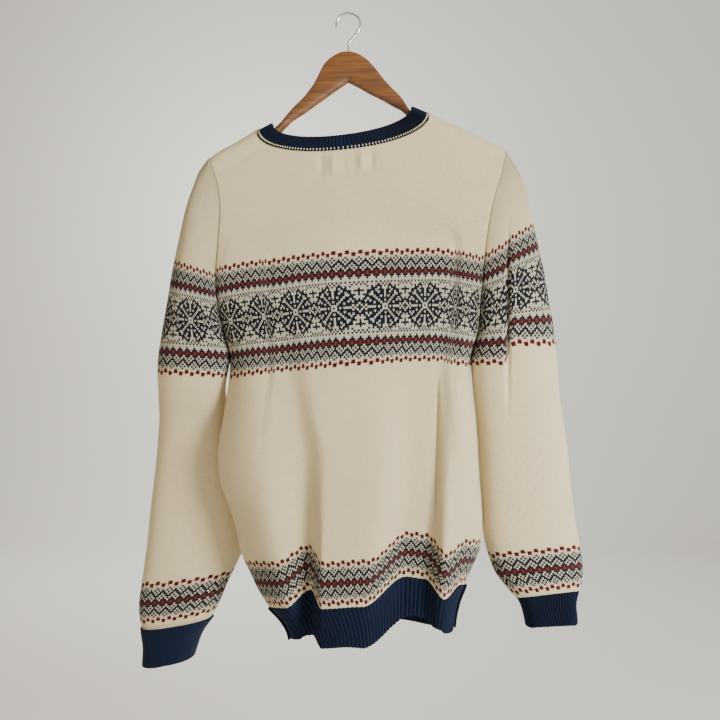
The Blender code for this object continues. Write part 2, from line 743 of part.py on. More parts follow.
def add_hanger(finish):
    """Rounded sections along the hanger, closed at both tips."""
    sides = 12
    angles = np.linspace(0, 2 * math.pi, sides, endpoint=False)
    xs = sorted({float(row[0]) for row in HANGER}
                | {float(x) for x in np.linspace(-184, 208, 24)})
    left, right = HANGER[0][0], HANGER[-1][0]
    rings = []
    for x in xs:
        top = float(curve([(row[0], row[1]) for row in HANGER], x))
        bottom = float(np.interp(x, [row[0] for row in HANGER], [row[2] for row in HANGER]))
        reach = abs(x) / max(abs(left), abs(right))
        thick = HANGER_THICKNESS + (HANGER_END_THICKNESS - HANGER_THICKNESS) * reach
        tip = min(x - left, right - x)
        thick *= 0.55 + 0.45 * float(ease(tip / 8.0))
        middle, half = (top + bottom) / 2, (top - bottom) / 2
        ring = []
        for angle in angles:
            c, s = math.cos(angle), math.sin(angle)
            y = thick / 2 * math.copysign(abs(c) ** 0.6, c)
            z = middle + half * math.copysign(abs(s) ** 0.6, s)
            ring.append((x * MM, y * MM, z * MM))
        rings.append(ring)
    points = np.array([point for ring in rings for point in ring])
    faces = grid_faces(len(rings), sides, True)
    faces.append(tuple(reversed(range(sides))))
    last = (len(rings) - 1) * sides
    faces.append(tuple(last + k for k in range(sides)))
    return add_object("hanger_body", points, faces, finish, 40.0)


def hook_path():
    """Middle line of the wire, from the tip over the top and down to the wood."""
    centre = HOOK_WIRE / 2 - HOOK_RADIUS
    path = []
    for angle in np.linspace(HOOK_TIP_ANGLE, HOOK_END_ANGLE, 22):
        turn = math.radians(angle)
        path.append((HOOK_RADIUS * math.cos(turn), centre + HOOK_RADIUS * math.sin(turn)))
    lean = math.radians(-HOOK_END_ANGLE)
    bend = HOOK_LOWER_BEND
    x_bend = bend * (1 - math.cos(lean))
    straight = (path[-1][0] - x_bend) / math.sin(lean)
    x, z = path[-1][0] - straight * math.sin(lean), path[-1][1] - straight * math.cos(lean)
    for step in range(6):
        turn = lean * (1 - step / 5)
        path.append((x - x_bend + bend * (1 - math.cos(turn)),
                     z - bend * (math.sin(lean) - math.sin(turn))))
    path.append((0.0, HOOK_ROOT))
    return path


def add_hook(finish):
    line = bpy.data.curves.new("hanger_hook", "CURVE")
    line.dimensions = "3D"
    line.bevel_depth = HOOK_WIRE / 2 * MM
    line.bevel_resolution = 3
    line.use_fill_caps = True
    spline = line.splines.new("POLY")
    path = hook_path()
    spline.points.add(len(path) - 1)
    for point, (x, z) in zip(spline.points, path):
        point.co = (x * MM, 0.0, z * MM, 1.0)
    line.materials.append(finish)
    made = bpy.data.objects.new("hanger_hook", line)
    bpy.context.scene.collection.objects.link(made)
    return made


def build():
    for old in list(bpy.data.objects):
        bpy.data.objects.remove(old)
    cream = material("cream_knit", (216, 206, 182), 0.95)
    navy = material("navy_rib", (28, 38, 58), 0.95)
    wood = material("hanger_wood", (150, 112, 70), 0.45)
    steel = material("hook_steel", (170, 170, 172), 0.3, 1.0)
    add_back(cream)
    add_front(cream)
    for side in ("left", "right"):
        add_sleeve(side, SLEEVE_COLUMNS, 14, 8, cream)
        add_cuff(side, navy)
    add_hem("hem_back", -1, navy)
    add_hem("hem_front", 1, navy)
    add_neckband(navy)
    add_hanger(wood)
    add_hook(steel)


build()
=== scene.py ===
import math

import bpy
import numpy as np
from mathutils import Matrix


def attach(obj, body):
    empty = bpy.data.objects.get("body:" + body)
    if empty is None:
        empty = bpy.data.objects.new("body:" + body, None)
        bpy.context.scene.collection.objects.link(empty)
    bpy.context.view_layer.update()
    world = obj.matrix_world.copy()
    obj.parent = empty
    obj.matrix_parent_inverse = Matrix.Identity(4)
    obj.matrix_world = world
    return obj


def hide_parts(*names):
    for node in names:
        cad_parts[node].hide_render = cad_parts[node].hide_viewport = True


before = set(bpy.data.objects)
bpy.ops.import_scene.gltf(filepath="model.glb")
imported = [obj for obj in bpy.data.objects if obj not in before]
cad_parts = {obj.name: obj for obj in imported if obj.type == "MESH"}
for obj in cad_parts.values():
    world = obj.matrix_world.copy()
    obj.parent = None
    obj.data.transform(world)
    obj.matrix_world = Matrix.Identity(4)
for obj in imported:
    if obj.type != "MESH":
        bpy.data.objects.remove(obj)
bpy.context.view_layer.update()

# All lengths in the tables are millimetres. x, z are drawn as the camera sees them;
# place() moves what lies nearer the camera onto that line of sight.
mm = 0.001
viewPlace = (16.0, -1100.0, -467.0)
yoke = -262.0            # above it the rows are counted from the ridge over the hanger
chest, waist = -395.0, -590.0
hemTop, hemBottom = -791.0, -845.0
armpit = -465.0
shoulderRadius = 11.0    # of the cloth's turn over the hanger
frontShoulder = 20.0     # along the cloth, from the ridge to where the front's shoulders begin
bodyRoundness = 2.6      # of the cross sections: 2 is an ellipse, and more is squarer
sleeveRoundness = 2.3
neckRoundness = 2.2
legSlant = 0.25          # how far a stitch's legs slant, in rows

# Body: where its sides are, how deep the back and front are, and how deep the
# armhole seams lie. Above the armpit the sides are the armhole seams.
bodyTable = (
    ("height", "left", "right", "back", "front", "seam"),
    (-192, -189, 213, 11.5, 11.5, 11.5),
    (-222, -179, 205, 12.5, 12.5, 12),
    (-250, -174, 197, 16, 16, 13),
    (-304, -176, 187, 24, 23, 14),
    (-348, -179, 182, 31, 29, 14),
    (-390, -176, 179, 37, 34, 12),
    (-430, -168, 175, 43, 39, 8),
    (-465, -160, 166, 47, 43, 0),
    (-508, -163, 165, 51, 46, 0),
    (-545, -169, 171, 54, 49, 0),
    (-586, -175.5, 174.5, 57, 51, 0),
    (-629, -173.5, 177, 60, 53, 0),
    (-660, -163, 180, 62, 54, 0),
    (-697, -151, 181, 64, 56, 0),
    (-724, -146, 177, 66, 57, 0),
    (-757, -131, 163, 68, 59, 0),
    (-778, -121, 155, 69, 60, 0),
    (-798, -108, 148.5, 70, 61, 0),
    (-818, -93, 144, 71, 62, 0),
    (-845, -80, 141, 72, 62, 0),
    (-870, -76, 138, 72, 62, 0),
)
# Folds of the back: where each runs at three heights, how far it stands out there,
# and how far the rows rise on it at the chest and at the hem.
backFolds = (
    # name, x at chest, waist, hem, out at chest, waist, hem, rise at chest, hem
    ("left side", -186, -178, -118, 0, 0, 0, -24, -10),
    ("left roll", -140, -125, -84, 1, 9, 7, -15, -12),
    ("left groove", -95, -62, -50, -3, -11, -18, -10, 13),
    ("broad roll, left", -70, -28, -37, 0, 5, 8, -6, -13),
    ("broad roll, right", 20, 44, 18, 0, 9, 9, 1, -10),
    ("right groove, left", 90, 90, 78, 0, -13, -27, 3, 31),
    ("right groove, right", 128, 116, 102, -1, -12, -24, 3, 28),
    ("right roll", 148, 140, 130, 1, 10, 10, 0, 0),
    ("right side", 182, 178, 152, 0, 0, 0, -7, 20),
)
frontFolds = (
    ("left side", -186, -178, -118, 0, 0, 0, -24, -10),
    ("left roll", -120, -110, -80, 0, 3, 6, -16, -12),
    ("left groove", -60, -55, -45, 0, -4, -12, -8, 8),
    ("middle roll", 0, 10, 15, 0, 4, 8, -2, -6),
    ("right groove", 70, 70, 70, 0, -4, -14, 2, 12),
    ("right roll", 130, 125, 118, 0, 3, 6, 0, 2),
    ("right side", 182, 178, 152, 0, 0, 0, -7, 20),
)
foldLevels = (chest, waist, -800.0)
riseOnset = 1.2          # above 1, the hem's rises set in lower down

# Ridge: the top of the cloth over the hanger, seen from the back.
ridgeTable = (
    # x, height
    (-238, -330), (-225, -270), (-216, -250), (-209, -231), (-201, -211), (-192, -199),
    (-181, -190), (-147, -170), (-119, -153), (-100, -143), (85, -122), (105, -131),
    (144, -150), (186, -170), (213, -185), (224, -197), (231, -213), (238, -231),
    (243, -251),
)
armholeTop = {"left": (-188.5, -195.5), "right": (213.0, -185.5)}
# Shoulder seams lie this far down the back from the ridge.
seamDrop = {"left": 27.0, "right": 9.0}

# Neckline: ends on the ridge, and the sag of each edge of the band below its chord.
neckTable = {
    "outer": {"left": (-119, -154), "right": (105, -131), "back": 35.0, "front": 88.0},
    "inner": {"left": (-102.5, -145.5), "right": (86, -123), "back": 27.5, "front": 70.0},
}
# Where each shoulder seam meets the neckline.
seamStart = {"left": -105.0, "right": 106.0}

# Sleeves: outer and inner edge, depth to each side, how far forward the middle lies,
# and the rise of the rows at the outer and inner edge. The inner edge above the
# armpit is the armhole seam.
sleeveTables = {
    "left": (
        ("height", "outer", "inner", "depth", "forward", "outerRise", "innerRise"),
        (-196, -190, -188.5, 10, 0, 2, 0),
        (-213, -202, -184, 11.5, 0, 3, -3),
        (-231, -209, -177, 13.5, 0, 4, -6),
        (-250, -216, -174, 16, 0, 5, -8),
        (-304, -229, -176, 22, 0, 6, -12),
        (-348, -238, -179, 27, 0, 6, -12),
        (-390, -245, -176, 30, 0, 4, -8),
        (-430, -252, -168, 32, 0, 3, -5),
        (-465, -257, -160.8, 33, 1, 2, -4),
        (-508, -259, -168, 34, 14, 0, -3),
        (-545, -263, -164, 34, 37, -1, -2),
        (-586, -269, -156, 33, 50, -2, -1),
        (-629, -274, -152, 33, 54, -3, 0),
        (-671, -279, -148, 33, 52, -5, 2),
        (-710, -282, -146, 32, 47, -8, 3),
        (-737, -284, -150, 32, 42, -10, 4),
        (-757, -286, -159, 31, 38, -11, 5),
        (-778, -288, -169, 30, 34, -12, 6),
        (-798, -290, -177, 29, 30, -11, 7),
        (-818, -289, -187, 27, 27, -9, 8),
        (-840, -284, -199, 26, 25, -8, 8),
        (-858, -280, -203, 25, 24, -7, 7),
        (-890, -281, -207, 25, 24, -7, 7),
    ),
    "right": (
        ("height", "outer", "inner", "depth", "forward", "outerRise", "innerRise"),
        (-186, 214.5, 213, 10, 0, 2, 0),
        (-211, 229.5, 208, 11.5, 0, 6, -6),
        (-231, 238, 203, 13.5, 0, 10, -9),
        (-250, 243, 197, 16, 0, 14, -12),
        (-304, 255, 187, 22, 0, 22, -20),
        (-348, 265, 182, 27, 0, 24, -20),
        (-390, 272, 179, 31, 0, 24, -16),
        (-430, 279, 175, 33, 0, 22, -12),
        (-465, 283, 166.8, 34, 2, 18, -8),
        (-508, 287, 170, 35, 10, 15, -5),
        (-545, 293, 174.5, 35, 14, 12, -4),
        (-586, 299, 177.5, 35, 15, 9, -4),
        (-629, 303, 180, 34, 15, 7, -4),
        (-671, 308, 183, 33, 14, 6, -5),
        (-697, 312, 184, 32, 14, 6, -5),
        (-717, 316, 187, 31, 14, 5, -6),
        (-737, 319, 193, 30, 14, 5, -6),
        (-757, 320, 201, 29, 14, 5, -6),
        (-778, 317, 217, 27, 14, 5, -6),
        (-798, 312, 233, 25, 14, 4, -5),
        (-818, 313, 240, 24, 14, 3, -2),
        (-850, 314, 244, 24, 14, 3, 0),
    ),
}
# top and bottom of each cuff's rib
cuffLevels = {
    "left": {"top": -828.0, "bottom": -875.0},
    "right": {"top": -783.0, "bottom": -829.0},
}

# Hanger: its top and bottom edge, from its left tip to its right tip.
hangerTable = (
    # x, top, bottom
    (-192, -211, -215), (-189, -204.5, -219), (-180, -197, -217), (-165, -186.5, -206),
    (-147, -176, -194), (-119, -164.5, -178), (-105, -158, -171), (-94, -149, -163),
    (-75, -127, -144), (-59, -111, -134), (-44, -90, -123), (-34, -70, -116),
    (-19, -56, -105), (0, -50.6, -92), (14, -54, -99), (26, -62, -106),
    (38, -75, -112), (48, -88, -117), (60, -101, -124), (72, -113, -130),
    (84, -131, -142), (103, -141.5, -152), (122, -147.5, -160), (144, -156.5, -169),
    (186, -176.5, -191), (205, -187, -203), (213, -193, -206), (216, -197, -203),
)


def curve(points, x):
    # a smooth line through the points
    xs, ys = (np.array(part, dtype=float) for part in zip(*points))
    order = np.argsort(xs)
    xs, ys = xs[order], ys[order]
    slopes = np.gradient(ys, xs)
    x = np.clip(np.asarray(x, dtype=float), xs[0], xs[-1])
    k = np.clip(np.searchsorted(xs, x) - 1, 0, len(xs) - 2)
    step = xs[k + 1] - xs[k]
    t = (x - xs[k]) / step
    t2, t3 = t * t, t * t * t
    return ((2 * t3 - 3 * t2 + 1) * ys[k] + (t3 - 2 * t2 + t) * step * slopes[k]
            + (3 * t2 - 2 * t3) * ys[k + 1] + (t3 - t2) * step * slopes[k + 1])


def column(table, name, z):
    # one column of a table by height; the table's first row names its columns
    number = table[0].index(name)
    return curve([(row[0], row[number]) for row in table[1:]], z)


def ease(t):
    t = np.clip(t, 0.0, 1.0)
    return t * t * (3 - 2 * t)


def waves(extremes, x):
    # a line that swings from each extreme to the next and never past one
    xs, ys = (np.array(part, dtype=float) for part in zip(*extremes))
    x = np.clip(np.asarray(x, dtype=float), xs[0], xs[-1])
    k = np.clip(np.searchsorted(xs, x) - 1, 0, len(xs) - 2)
    return ys[k] + (ys[k + 1] - ys[k]) * ease((x - xs[k]) / (xs[k + 1] - xs[k]))


def place(x, y, z):
    shrink = 1.0 + np.minimum(y, 0.0) / -viewPlace[1]
    return np.stack([(viewPlace[0] + (x - viewPlace[0]) * shrink) * mm,
                     np.asarray(y) * mm,
                     (viewPlace[2] + (z - viewPlace[2]) * shrink) * mm], axis=-1)


def signedPower(values, power):
    return np.sign(values) * np.abs(values) ** power


def rounded(share, power):
    # how high a rounded cross section stands at this share of the way out from its middle
    return (1 - share ** power) ** (1 / power)


def runLength(first, second):
    # how far along a line each of its points lies
    return np.concatenate([[0], np.cumsum(np.hypot(np.diff(first), np.diff(second)))])


def foldLines(folds, z):
    # where each fold runs at this height, and how far it stands out
    levels = foldLevels[::-1]
    lines = []
    for _, x0, x1, x2, out0, out1, out2, _, _ in folds:
        lines.append((np.interp(z, levels, (x2, x1, x0)), np.interp(z, levels, (out2, out1, out0))))
    return lines


def foldOut(folds, x, z):
    fade = ease((yoke - z) / (yoke - chest))
    return waves(foldLines(folds, z), x) * fade


def rowRise(folds, x, z):
    low = ease((z - chest) / (hemTop - chest)) ** riseOnset
    xs = [lineX for lineX, _ in foldLines(folds, z)]
    *_, chestRises, hemRises = zip(*folds)
    return curve(zip(xs, chestRises), x) * (1 - low) + waves(zip(xs, hemRises), x) * low


def bodySides(z):
    sides = []
    for side in ("left", "right"):
        rise = float(rowRise(backFolds, column(bodyTable, side, z), z))
        sides.append(float(column(bodyTable, side, z + rise)))
    return sides


def roll(s):
    # how far below the ridge the cloth is, s along it, and how much of its full depth it has
    s = np.abs(s)
    turn = shoulderRadius * math.pi / 2
    angle = np.minimum(s, turn) / shoulderRadius
    return shoulderRadius * (1 - np.cos(angle)) + np.maximum(s - turn, 0.0), np.sin(angle)


def alongRoll(drop):
    # the other way round: from the drop below the ridge to the length along the cloth
    drop = np.asarray(drop, dtype=float)
    inside = np.clip(1 - drop / shoulderRadius, -1, 1)
    turn = shoulderRadius * math.pi / 2
    return np.where(drop < shoulderRadius, shoulderRadius * np.arccos(inside),
                    turn + drop - shoulderRadius)


def bodyDepth(z, cover, facing):
    full = column(bodyTable, "back" if facing < 0 else "front", z)
    seam = column(bodyTable, "seam", z)
    return seam + (full - seam) * cover


def gridCorners(rows, columns):
    number = np.arange(rows * columns).reshape(rows, columns)
    return np.stack([number[:-1, :-1], number[:-1, 1:], number[1:, 1:], number[1:, :-1]], axis=-1)


def pointNormals(points, quads):
    across = np.cross(points[quads[:, 2]] - points[quads[:, 0]],
                      points[quads[:, 3]] - points[quads[:, 1]])
    normals = np.zeros_like(points)
    for corner in range(4):
        np.add.at(normals, quads[:, corner], across)
    return normals / np.maximum(np.linalg.norm(normals, axis=1), 1e-12)[:, None]


def gridNormals(points, closed):
    # normals of one grid of points, rows going up and columns to the viewer's right
    up = np.gradient(points, axis=0)
    if closed:
        along = np.roll(points, -1, axis=1) - np.roll(points, 1, axis=1)
    else:
        along = np.gradient(points, axis=1)
    normals = np.cross(along, up)
    return normals / np.maximum(np.linalg.norm(normals, axis=2), 1e-12)[:, :, None]


def openEdges(quads, count):
    # the edges that only one face has
    starts, ends = quads.reshape(-1), np.roll(quads, -1, axis=1).reshape(-1)
    real = starts != ends
    starts, ends = starts[real], ends[real]
    lonely = ~np.isin(ends * count + starts, starts * count + ends)
    return np.stack([starts[lonely], ends[lonely]], axis=1)


def makeObject(name, points, faces, uvs=None, colours=None, sharp=50.0):
    mesh = bpy.data.meshes.new(name)
    mesh.from_pydata(points.tolist(), [], faces)
    if uvs is not None:
        layer = mesh.uv_layers.new(name="stitches")
        layer.data.foreach_set("uv", np.asarray(uvs, dtype=np.float32).reshape(-1))
    if colours is not None:
        yarn = mesh.color_attributes.new(name="yarn", type="FLOAT_COLOR", domain="CORNER")
        yarn.data.foreach_set("color", np.asarray(colours, dtype=np.float32).reshape(-1))
    mesh.shade_smooth()
    mesh.set_sharp_from_angle(angle=math.radians(sharp))
    mesh.update()
    made = bpy.data.objects.new(name, mesh)
    bpy.context.scene.collection.objects.link(made)
    return made


def welded(points, reach):
    # makes points in the same small cell one: which are kept, and each point's new number
    _, first, index = np.unique(np.round(points / (reach * mm)).astype(np.int64), axis=0,
                                return_index=True, return_inverse=True)
    return first, index.reshape(-1)


def clothWall(name, blocks, thick, flip, keepSide=0, seamDip=0.0):
    # One closed wall of cloth from grids that may meet along their edges. Each block has
    # points, u and v in stitches, a colour for each face, and inner points if they are known.
    # keepSide keeps the inner points on one side of the middle plane below the armpits.
    points, quads, uvs, colours, inner = [], [], [], [], []
    start = 0
    for block in blocks:
        rows, columns = block["points"].shape[:2]
        corners = gridCorners(rows, columns).reshape(-1, 4)
        uv = np.stack([block["u"].reshape(-1), block["v"].reshape(-1)], axis=1)
        points.append(block["points"].reshape(-1, 3))
        quads.append(corners + start)
        uvs.append(uv[corners])
        colours.append(block["colours"].reshape(-1, 3))
        if "inner" in block:
            inner.append(block["inner"].reshape(-1, 3))
        start += rows * columns
    points, quads = np.vstack(points), np.vstack(quads)
    uvs, colours = np.vstack(uvs), np.vstack(colours)
    first, index = welded(points, 0.02)
    points, quads = points[first], index[quads]
    if flip:
        quads, uvs = quads[:, ::-1], uvs[:, ::-1]
    if inner:
        inner = np.vstack(inner)[first]
    else:
        normals = pointNormals(points, quads)
        inner = points - normals * thick * mm
        edge = np.unique(openEdges(quads, len(points)))
        points[edge] -= normals[edge] * seamDip * mm
    if keepSide:
        below = points[:, 2] < armpit * mm
        inner[below, 1] = keepSide * np.maximum(keepSide * inner[below, 1], 0.0)
    count = len(points)
    pointUv, pointColour = np.zeros((count, 2)), np.zeros((count, 3))
    for corner in range(4):
        pointUv[quads[:, corner]] = uvs[:, corner]
        pointColour[quads[:, corner]] = colours
    faces, loopUvs, loopColours = [], [], []

    def addFace(face, faceUv, colour):
        faces.append(face)
        loopUvs.extend(faceUv)
        loopColours.extend([colour] * len(face))

    for quad, uv, colour in zip(quads.tolist(), uvs.tolist(), colours.tolist()):
        kept = [k for k in range(4) if quad[k] not in quad[:k]]
        if len(kept) < 3:
            continue
        colour = (*colour, 1.0)
        addFace([quad[k] for k in kept], [uv[k] for k in kept], colour)
        kept.reverse()
        addFace([quad[k] + count for k in kept], [uv[k] for k in kept], colour)
    for a, b in openEdges(quads, count).tolist():
        colour = (*pointColour[a].tolist(), 1.0)
        ends = [pointUv[b].tolist(), pointUv[a].tolist()]
        addFace([b, a, a + count, b + count], ends + ends[::-1], colour)
    return makeObject(name, np.vstack([points, inner]), faces, loopUvs, loopColours)


def tubeFaces(rings, sides, start=0, flip=False, capped=True):
    faces = []
    for ring in range(rings - 1):
        for i in range(sides):
            a, b = start + ring * sides + i, start + ring * sides + (i + 1) % sides
            faces.append([a, a + sides, b + sides, b] if flip else [a, b, b + sides, a + sides])
    if capped:
        last = (rings - 1) * sides
        caps = list(range(sides))[::-1], list(range(last, last + sides))
        faces += [cap[::-1] for cap in caps] if flip else caps
    return faces


def sweep(name, path, radii, sides=20):
    # a round bar along a path, with closed ends
    path = np.asarray(path, dtype=float)
    along = np.gradient(path, axis=0)
    along /= np.linalg.norm(along, axis=1)[:, None]
    side = np.cross(along, (0.0, 1.0, 0.0))
    side /= np.maximum(np.linalg.norm(side, axis=1), 1e-9)[:, None]
    other = np.cross(along, side)
    turns = np.linspace(0, 2 * math.pi, sides, endpoint=False)
    lines = [path + radii[:, None] * (side * math.cos(turn) + other * math.sin(turn)) for turn in turns]
    points = np.stack(lines, axis=1).reshape(-1, 3) * mm
    return makeObject(name, points, tubeFaces(len(path), sides))


def srgb(code):
    parts = [int(code[k:k + 2], 16) / 255 for k in (1, 3, 5)]
    return [c / 12.92 if c <= 0.04045 else ((c + 0.055) / 1.055) ** 2.4 for c in parts]


def addNode(tree, kind, links=(), **settings):
    # links: an input, and what goes in: a node for its first output, a socket or a value
    node = tree.nodes.new("ShaderNode" + kind)
    for key, value in settings.items():
        setattr(node, key, value)
    for name, value in links:
        if isinstance(value, bpy.types.Node):
            value = value.outputs[0]
        if isinstance(value, bpy.types.NodeSocket):
            tree.links.new(value, node.inputs[name])
        else:
            node.inputs[name].default_value = value
    return node


def newFinish(name, values):
    finish = bpy.data.materials.new(name)
    finish.use_nodes = True
    shader = finish.node_tree.nodes["Principled BSDF"]
    for key, value in values.items():
        shader.inputs[key].default_value = (*value, 1.0) if isinstance(value, list) else value
    return finish, finish.node_tree, shader


yarnLook = {
    "cream": "#F2DFB0",         # undyed wool
    "creamBetween": "#C4BDA6",  # the same wool where navy floats lie behind it
    "pink": "#DDA994",          # undyed wool beside the red stitches
    "navy": "#0C182F",          # ribs
    "navyPaintedShade": "#070E1D",      # the same navy yarn as the ribs, darkened in the stranded rows as painted shade where it lies deeper
    "red": "#4C060F",
    "brick": "#5A3A30",
    "stitchVariation": 0.035,   # lighter and darker stitches
    "plainVariation": 0.012,
    "stitchRelief": 0.8,        # mm
    "ribRelief": 0.6,           # mm
    "fleck": 1.111,             # mm across the tufts of loose fibre, coarser than real to show
    "fuzz": 0.35,               # mm that they stand out
}
# From u and v in stitches to the height of the yarn: leg is the arch of a slanted leg from
# row to row, width the arch across it. The hollows between the legs are painted darker in the base colour,
# as painted shade.
knitSteps = (
    # step, operation, inputs
    ("across", "FRACT", "u"),
    ("spread", "MULTIPLY_ADD", "across", 4.0, -2.0),
    ("fromMiddle", "ABSOLUTE", "spread"),
    ("slant", "MULTIPLY_ADD", "fromMiddle", -legSlant, legSlant),
    ("straightened", "ADD", "v", "slant"),
    ("along", "FRACT", "straightened"),
    ("alongTurn", "MULTIPLY", "along", math.pi),
    ("leg", "SINE", "alongTurn"),
    ("legs", "MULTIPLY", "u", 2.0),
    ("inLeg", "FRACT", "legs"),
    ("inLegTurn", "MULTIPLY", "inLeg", math.pi),
    ("width", "SINE", "inLegTurn"),
    ("fullLeg", "POWER", "leg", 0.35),
    ("fullWidth", "POWER", "width", 0.9),
    ("stitch", "MULTIPLY", "fullLeg", "fullWidth"),
    # painted shade: the colour is darker where the stitch height is low, in the hollows
    ("shade", "MULTIPLY_ADD", "stitch", 0.34, 0.72),
    ("fleck", "MULTIPLY_ADD", "fibre", 0.16, 0.92),
    ("both", "MULTIPLY", "shade", "fleck"),
)


def knitFinish(name, relief, sheen):
    # Wool stockinette: each stitch shows two slanted legs, with painted shade in the hollows between them,
    # and loose fibres make it matt.
    finish, tree, shader = newFinish(name, {"Roughness": 0.95, "Specular IOR Level": 0.12,
                                            "Sheen Weight": sheen, "Sheen Roughness": 0.6})
    yarn = addNode(tree, "VertexColor", layer_name="yarn")
    parts = addNode(tree, "SeparateXYZ", ((0, addNode(tree, "UVMap", uv_map="stitches")),))
    place = addNode(tree, "TexCoord").outputs["Object"]
    fibre = addNode(tree, "TexNoise", (("Vector", place), ("Scale", 1 / (yarnLook["fleck"] * mm)),
                                       ("Detail", 3.0)))
    made = {"u": parts.outputs[0], "v": parts.outputs[1], "fibre": fibre}
    for step, operation, *inputs in knitSteps:
        links = [(k, made.get(value, value)) for k, value in enumerate(inputs)]
        made[step] = addNode(tree, "Math", links, operation=operation)
    raised = addNode(tree, "Bump", (("Height", made["stitch"]), ("Distance", relief * mm),
                                    ("Strength", 1.0)))
    fuzzy = addNode(tree, "Bump", (("Height", fibre), ("Distance", yarnLook["fuzz"] * mm),
                                   ("Strength", 0.5), ("Normal", raised)))
    # the yarn's colour times the painted shade of the hollows and the fibre flecks
    mixed = addNode(tree, "VectorMath", ((0, yarn), ("Scale", made["both"])), operation="SCALE")
    tree.links.new(mixed.outputs[0], shader.inputs["Base Color"])
    tree.links.new(fuzzy.outputs[0], shader.inputs["Normal"])
    return finish


# "n" is the navy of the stranded rows, darkened with painted shade
yarnLetters = {".": "cream", "w": "creamBetween", "n": "navyPaintedShade", "v": "navy", "r": "red",
               "b": "brick", "p": "pink"}
palette = {letter: np.array(srgb(yarnLook[name])) for letter, name in yarnLetters.items()}
chance = np.random.default_rng(7)


# charts, one letter for each stitch, top row first; "." is cream, or creamBetween near navy
edgeRows = ("rr....", "rrprrp", ".p.rr.", "n.....", ".n.n.n", "n.nnn.", ".nn.nn", "nn.n.n", "n.n.n.",
            "nn.nnn.nnn.n", "brrr", "brrr", "nn.nnn.nnn.n", "n...n...n...", "....")
smallRows = 11           # of them in the narrow bands
repeat = 24
stitchHeight = 2.85


def chartRows(rows):
    return np.array([list((row * repeat)[:repeat]) for row in rows])


# The rose by stitches from its middle: near and far are the smaller and larger of a stitch's
# distances across and up, so each of these lists stands for the same place in all petals.
roseLook = {
    "reach": 12,                            # stitches from the middle to each edge
    "petalEnds": (8, 10, 11, 10, 9),        # far, for near from 1 to 5
    "petalTips": ((6, 8), (6, 9), (7, 7), (7, 8)),
    "petalVeins": ((2, 5), (3, 7), (3, 9), (4, 8)),
    "middle": ((0, 0), (0, 2), (0, 4)),
    "diagonals": (16, 18),                  # across + up along the dotted lines
    "crossHeight": 8,                       # of the small crosses between two roses
    # dots along the edge: stitches up, then those across
    "edgeDots": {12: (0, 2, 8, 10, 12), 11: (1, 9, 11), 10: (0,)},
}


def roseRows():
    # an eight-petalled rose with veined petals, small crosses between, dotted diagonals and edges
    reach = roseLook["reach"]
    rows = np.full((2 * reach + 1, repeat), "w")
    for line in range(2 * reach + 1):
        for stitch in range(repeat):
            across, up = min(stitch, repeat - stitch), abs(line - reach)
            spot = near, far = min(across, up), max(across, up)
            petal = 1 <= near <= 5 and near < far <= roseLook["petalEnds"][near - 1]
            petal = petal and spot not in roseLook["petalVeins"] or spot in roseLook["petalTips"]
            diagonal = across % 2 == 0 and across + up in roseLook["diagonals"]
            between = reach - across
            cross = between + abs(up - roseLook["crossHeight"]) <= 1 or between + up in (0, 1, 3)
            dots = across in roseLook["edgeDots"].get(up, ())
            if petal or diagonal or cross or dots or spot in roseLook["middle"]:
                rows[line, stitch] = "n"
    return rows


edgeChart = chartRows(edgeRows)
edgeChart[3:][edgeChart[3:] == "."] = "w"
chestChart = np.vstack([edgeChart, roseRows(), edgeChart[::-1]])
smallChart = np.vstack([edgeChart[:smallRows], edgeChart[:smallRows][::-1]])


def rowLevels(parts):
    # parts run from the bottom up: bottom, top, chart or None, step between plain rows
    heights, vs, slants, rows = [parts[0][0]], [0.0], [0.0], []
    for low, high, chart, step in parts:
        plain = chart is None
        count = max(1, round((high - low) / step)) if plain else len(chart)
        tall = (high - low) / count
        slant = 0.0 if plain else legSlant * tall
        slants[-1] = max(slants[-1], slant)
        for k in range(count):
            heights.append(low + tall * (k + 1))
            vs.append(vs[-1] + (tall / stitchHeight if plain else 1.0))
            slants.append(slant)
            rows.append(None if plain else chart[count - 1 - k])
    return heights, vs, slants, rows


def bandParts(foot, narrow, wide, step):
    return [(foot, narrow[0], None, step), (*narrow, smallChart, 0),
            (narrow[1], wide[0], None, step), (*wide, chestChart, 0)]


def stitchBlock(rowAt, levels, numbers, chartStart):
    # a grid of half stitches; the middle of each stitch is lower, as its two legs slant down
    heights, vs, slants, rows = levels
    odd = np.arange(len(numbers)) % 2 == 1
    points, u, v = [], [], []
    for z, level, slant in zip(heights, vs, slants):
        if slant:
            row = np.where(odd[:, None], rowAt(z - slant, numbers), rowAt(z + slant, numbers))
            v.append(np.where(odd, level - legSlant, level + legSlant))
        else:
            row = rowAt(z, numbers)
            v.append(np.full(len(numbers), level))
        points.append(row)
        u.append(numbers)
    colours = []
    stitch = np.floor(numbers[:-1] + 1e-6).astype(int)
    for row in rows:
        variation = yarnLook["plainVariation" if row is None else "stitchVariation"]
        letters = "." if row is None else row[(stitch - chartStart) % repeat]
        line = np.array([palette[letter] for letter in np.broadcast_to(letters, len(stitch))])
        tone = 1 + variation * chance.standard_normal(len(stitch) // 2 + 1)
        colours.append(line * np.repeat(tone, 2)[:len(stitch), None])
    return {"points": np.array(points), "u": np.array(u), "v": np.array(v), "colours": np.array(colours)}


def plainBlock(points, u, v):
    rows, columns = points.shape[:2]
    tone = 1 + yarnLook["plainVariation"] * chance.standard_normal((rows - 1, columns // 2 + 1, 1))
    tone = np.repeat(tone, 2, axis=1)[:, :columns - 1]
    return {"points": points, "u": u, "v": v, "colours": palette["."] * tone}


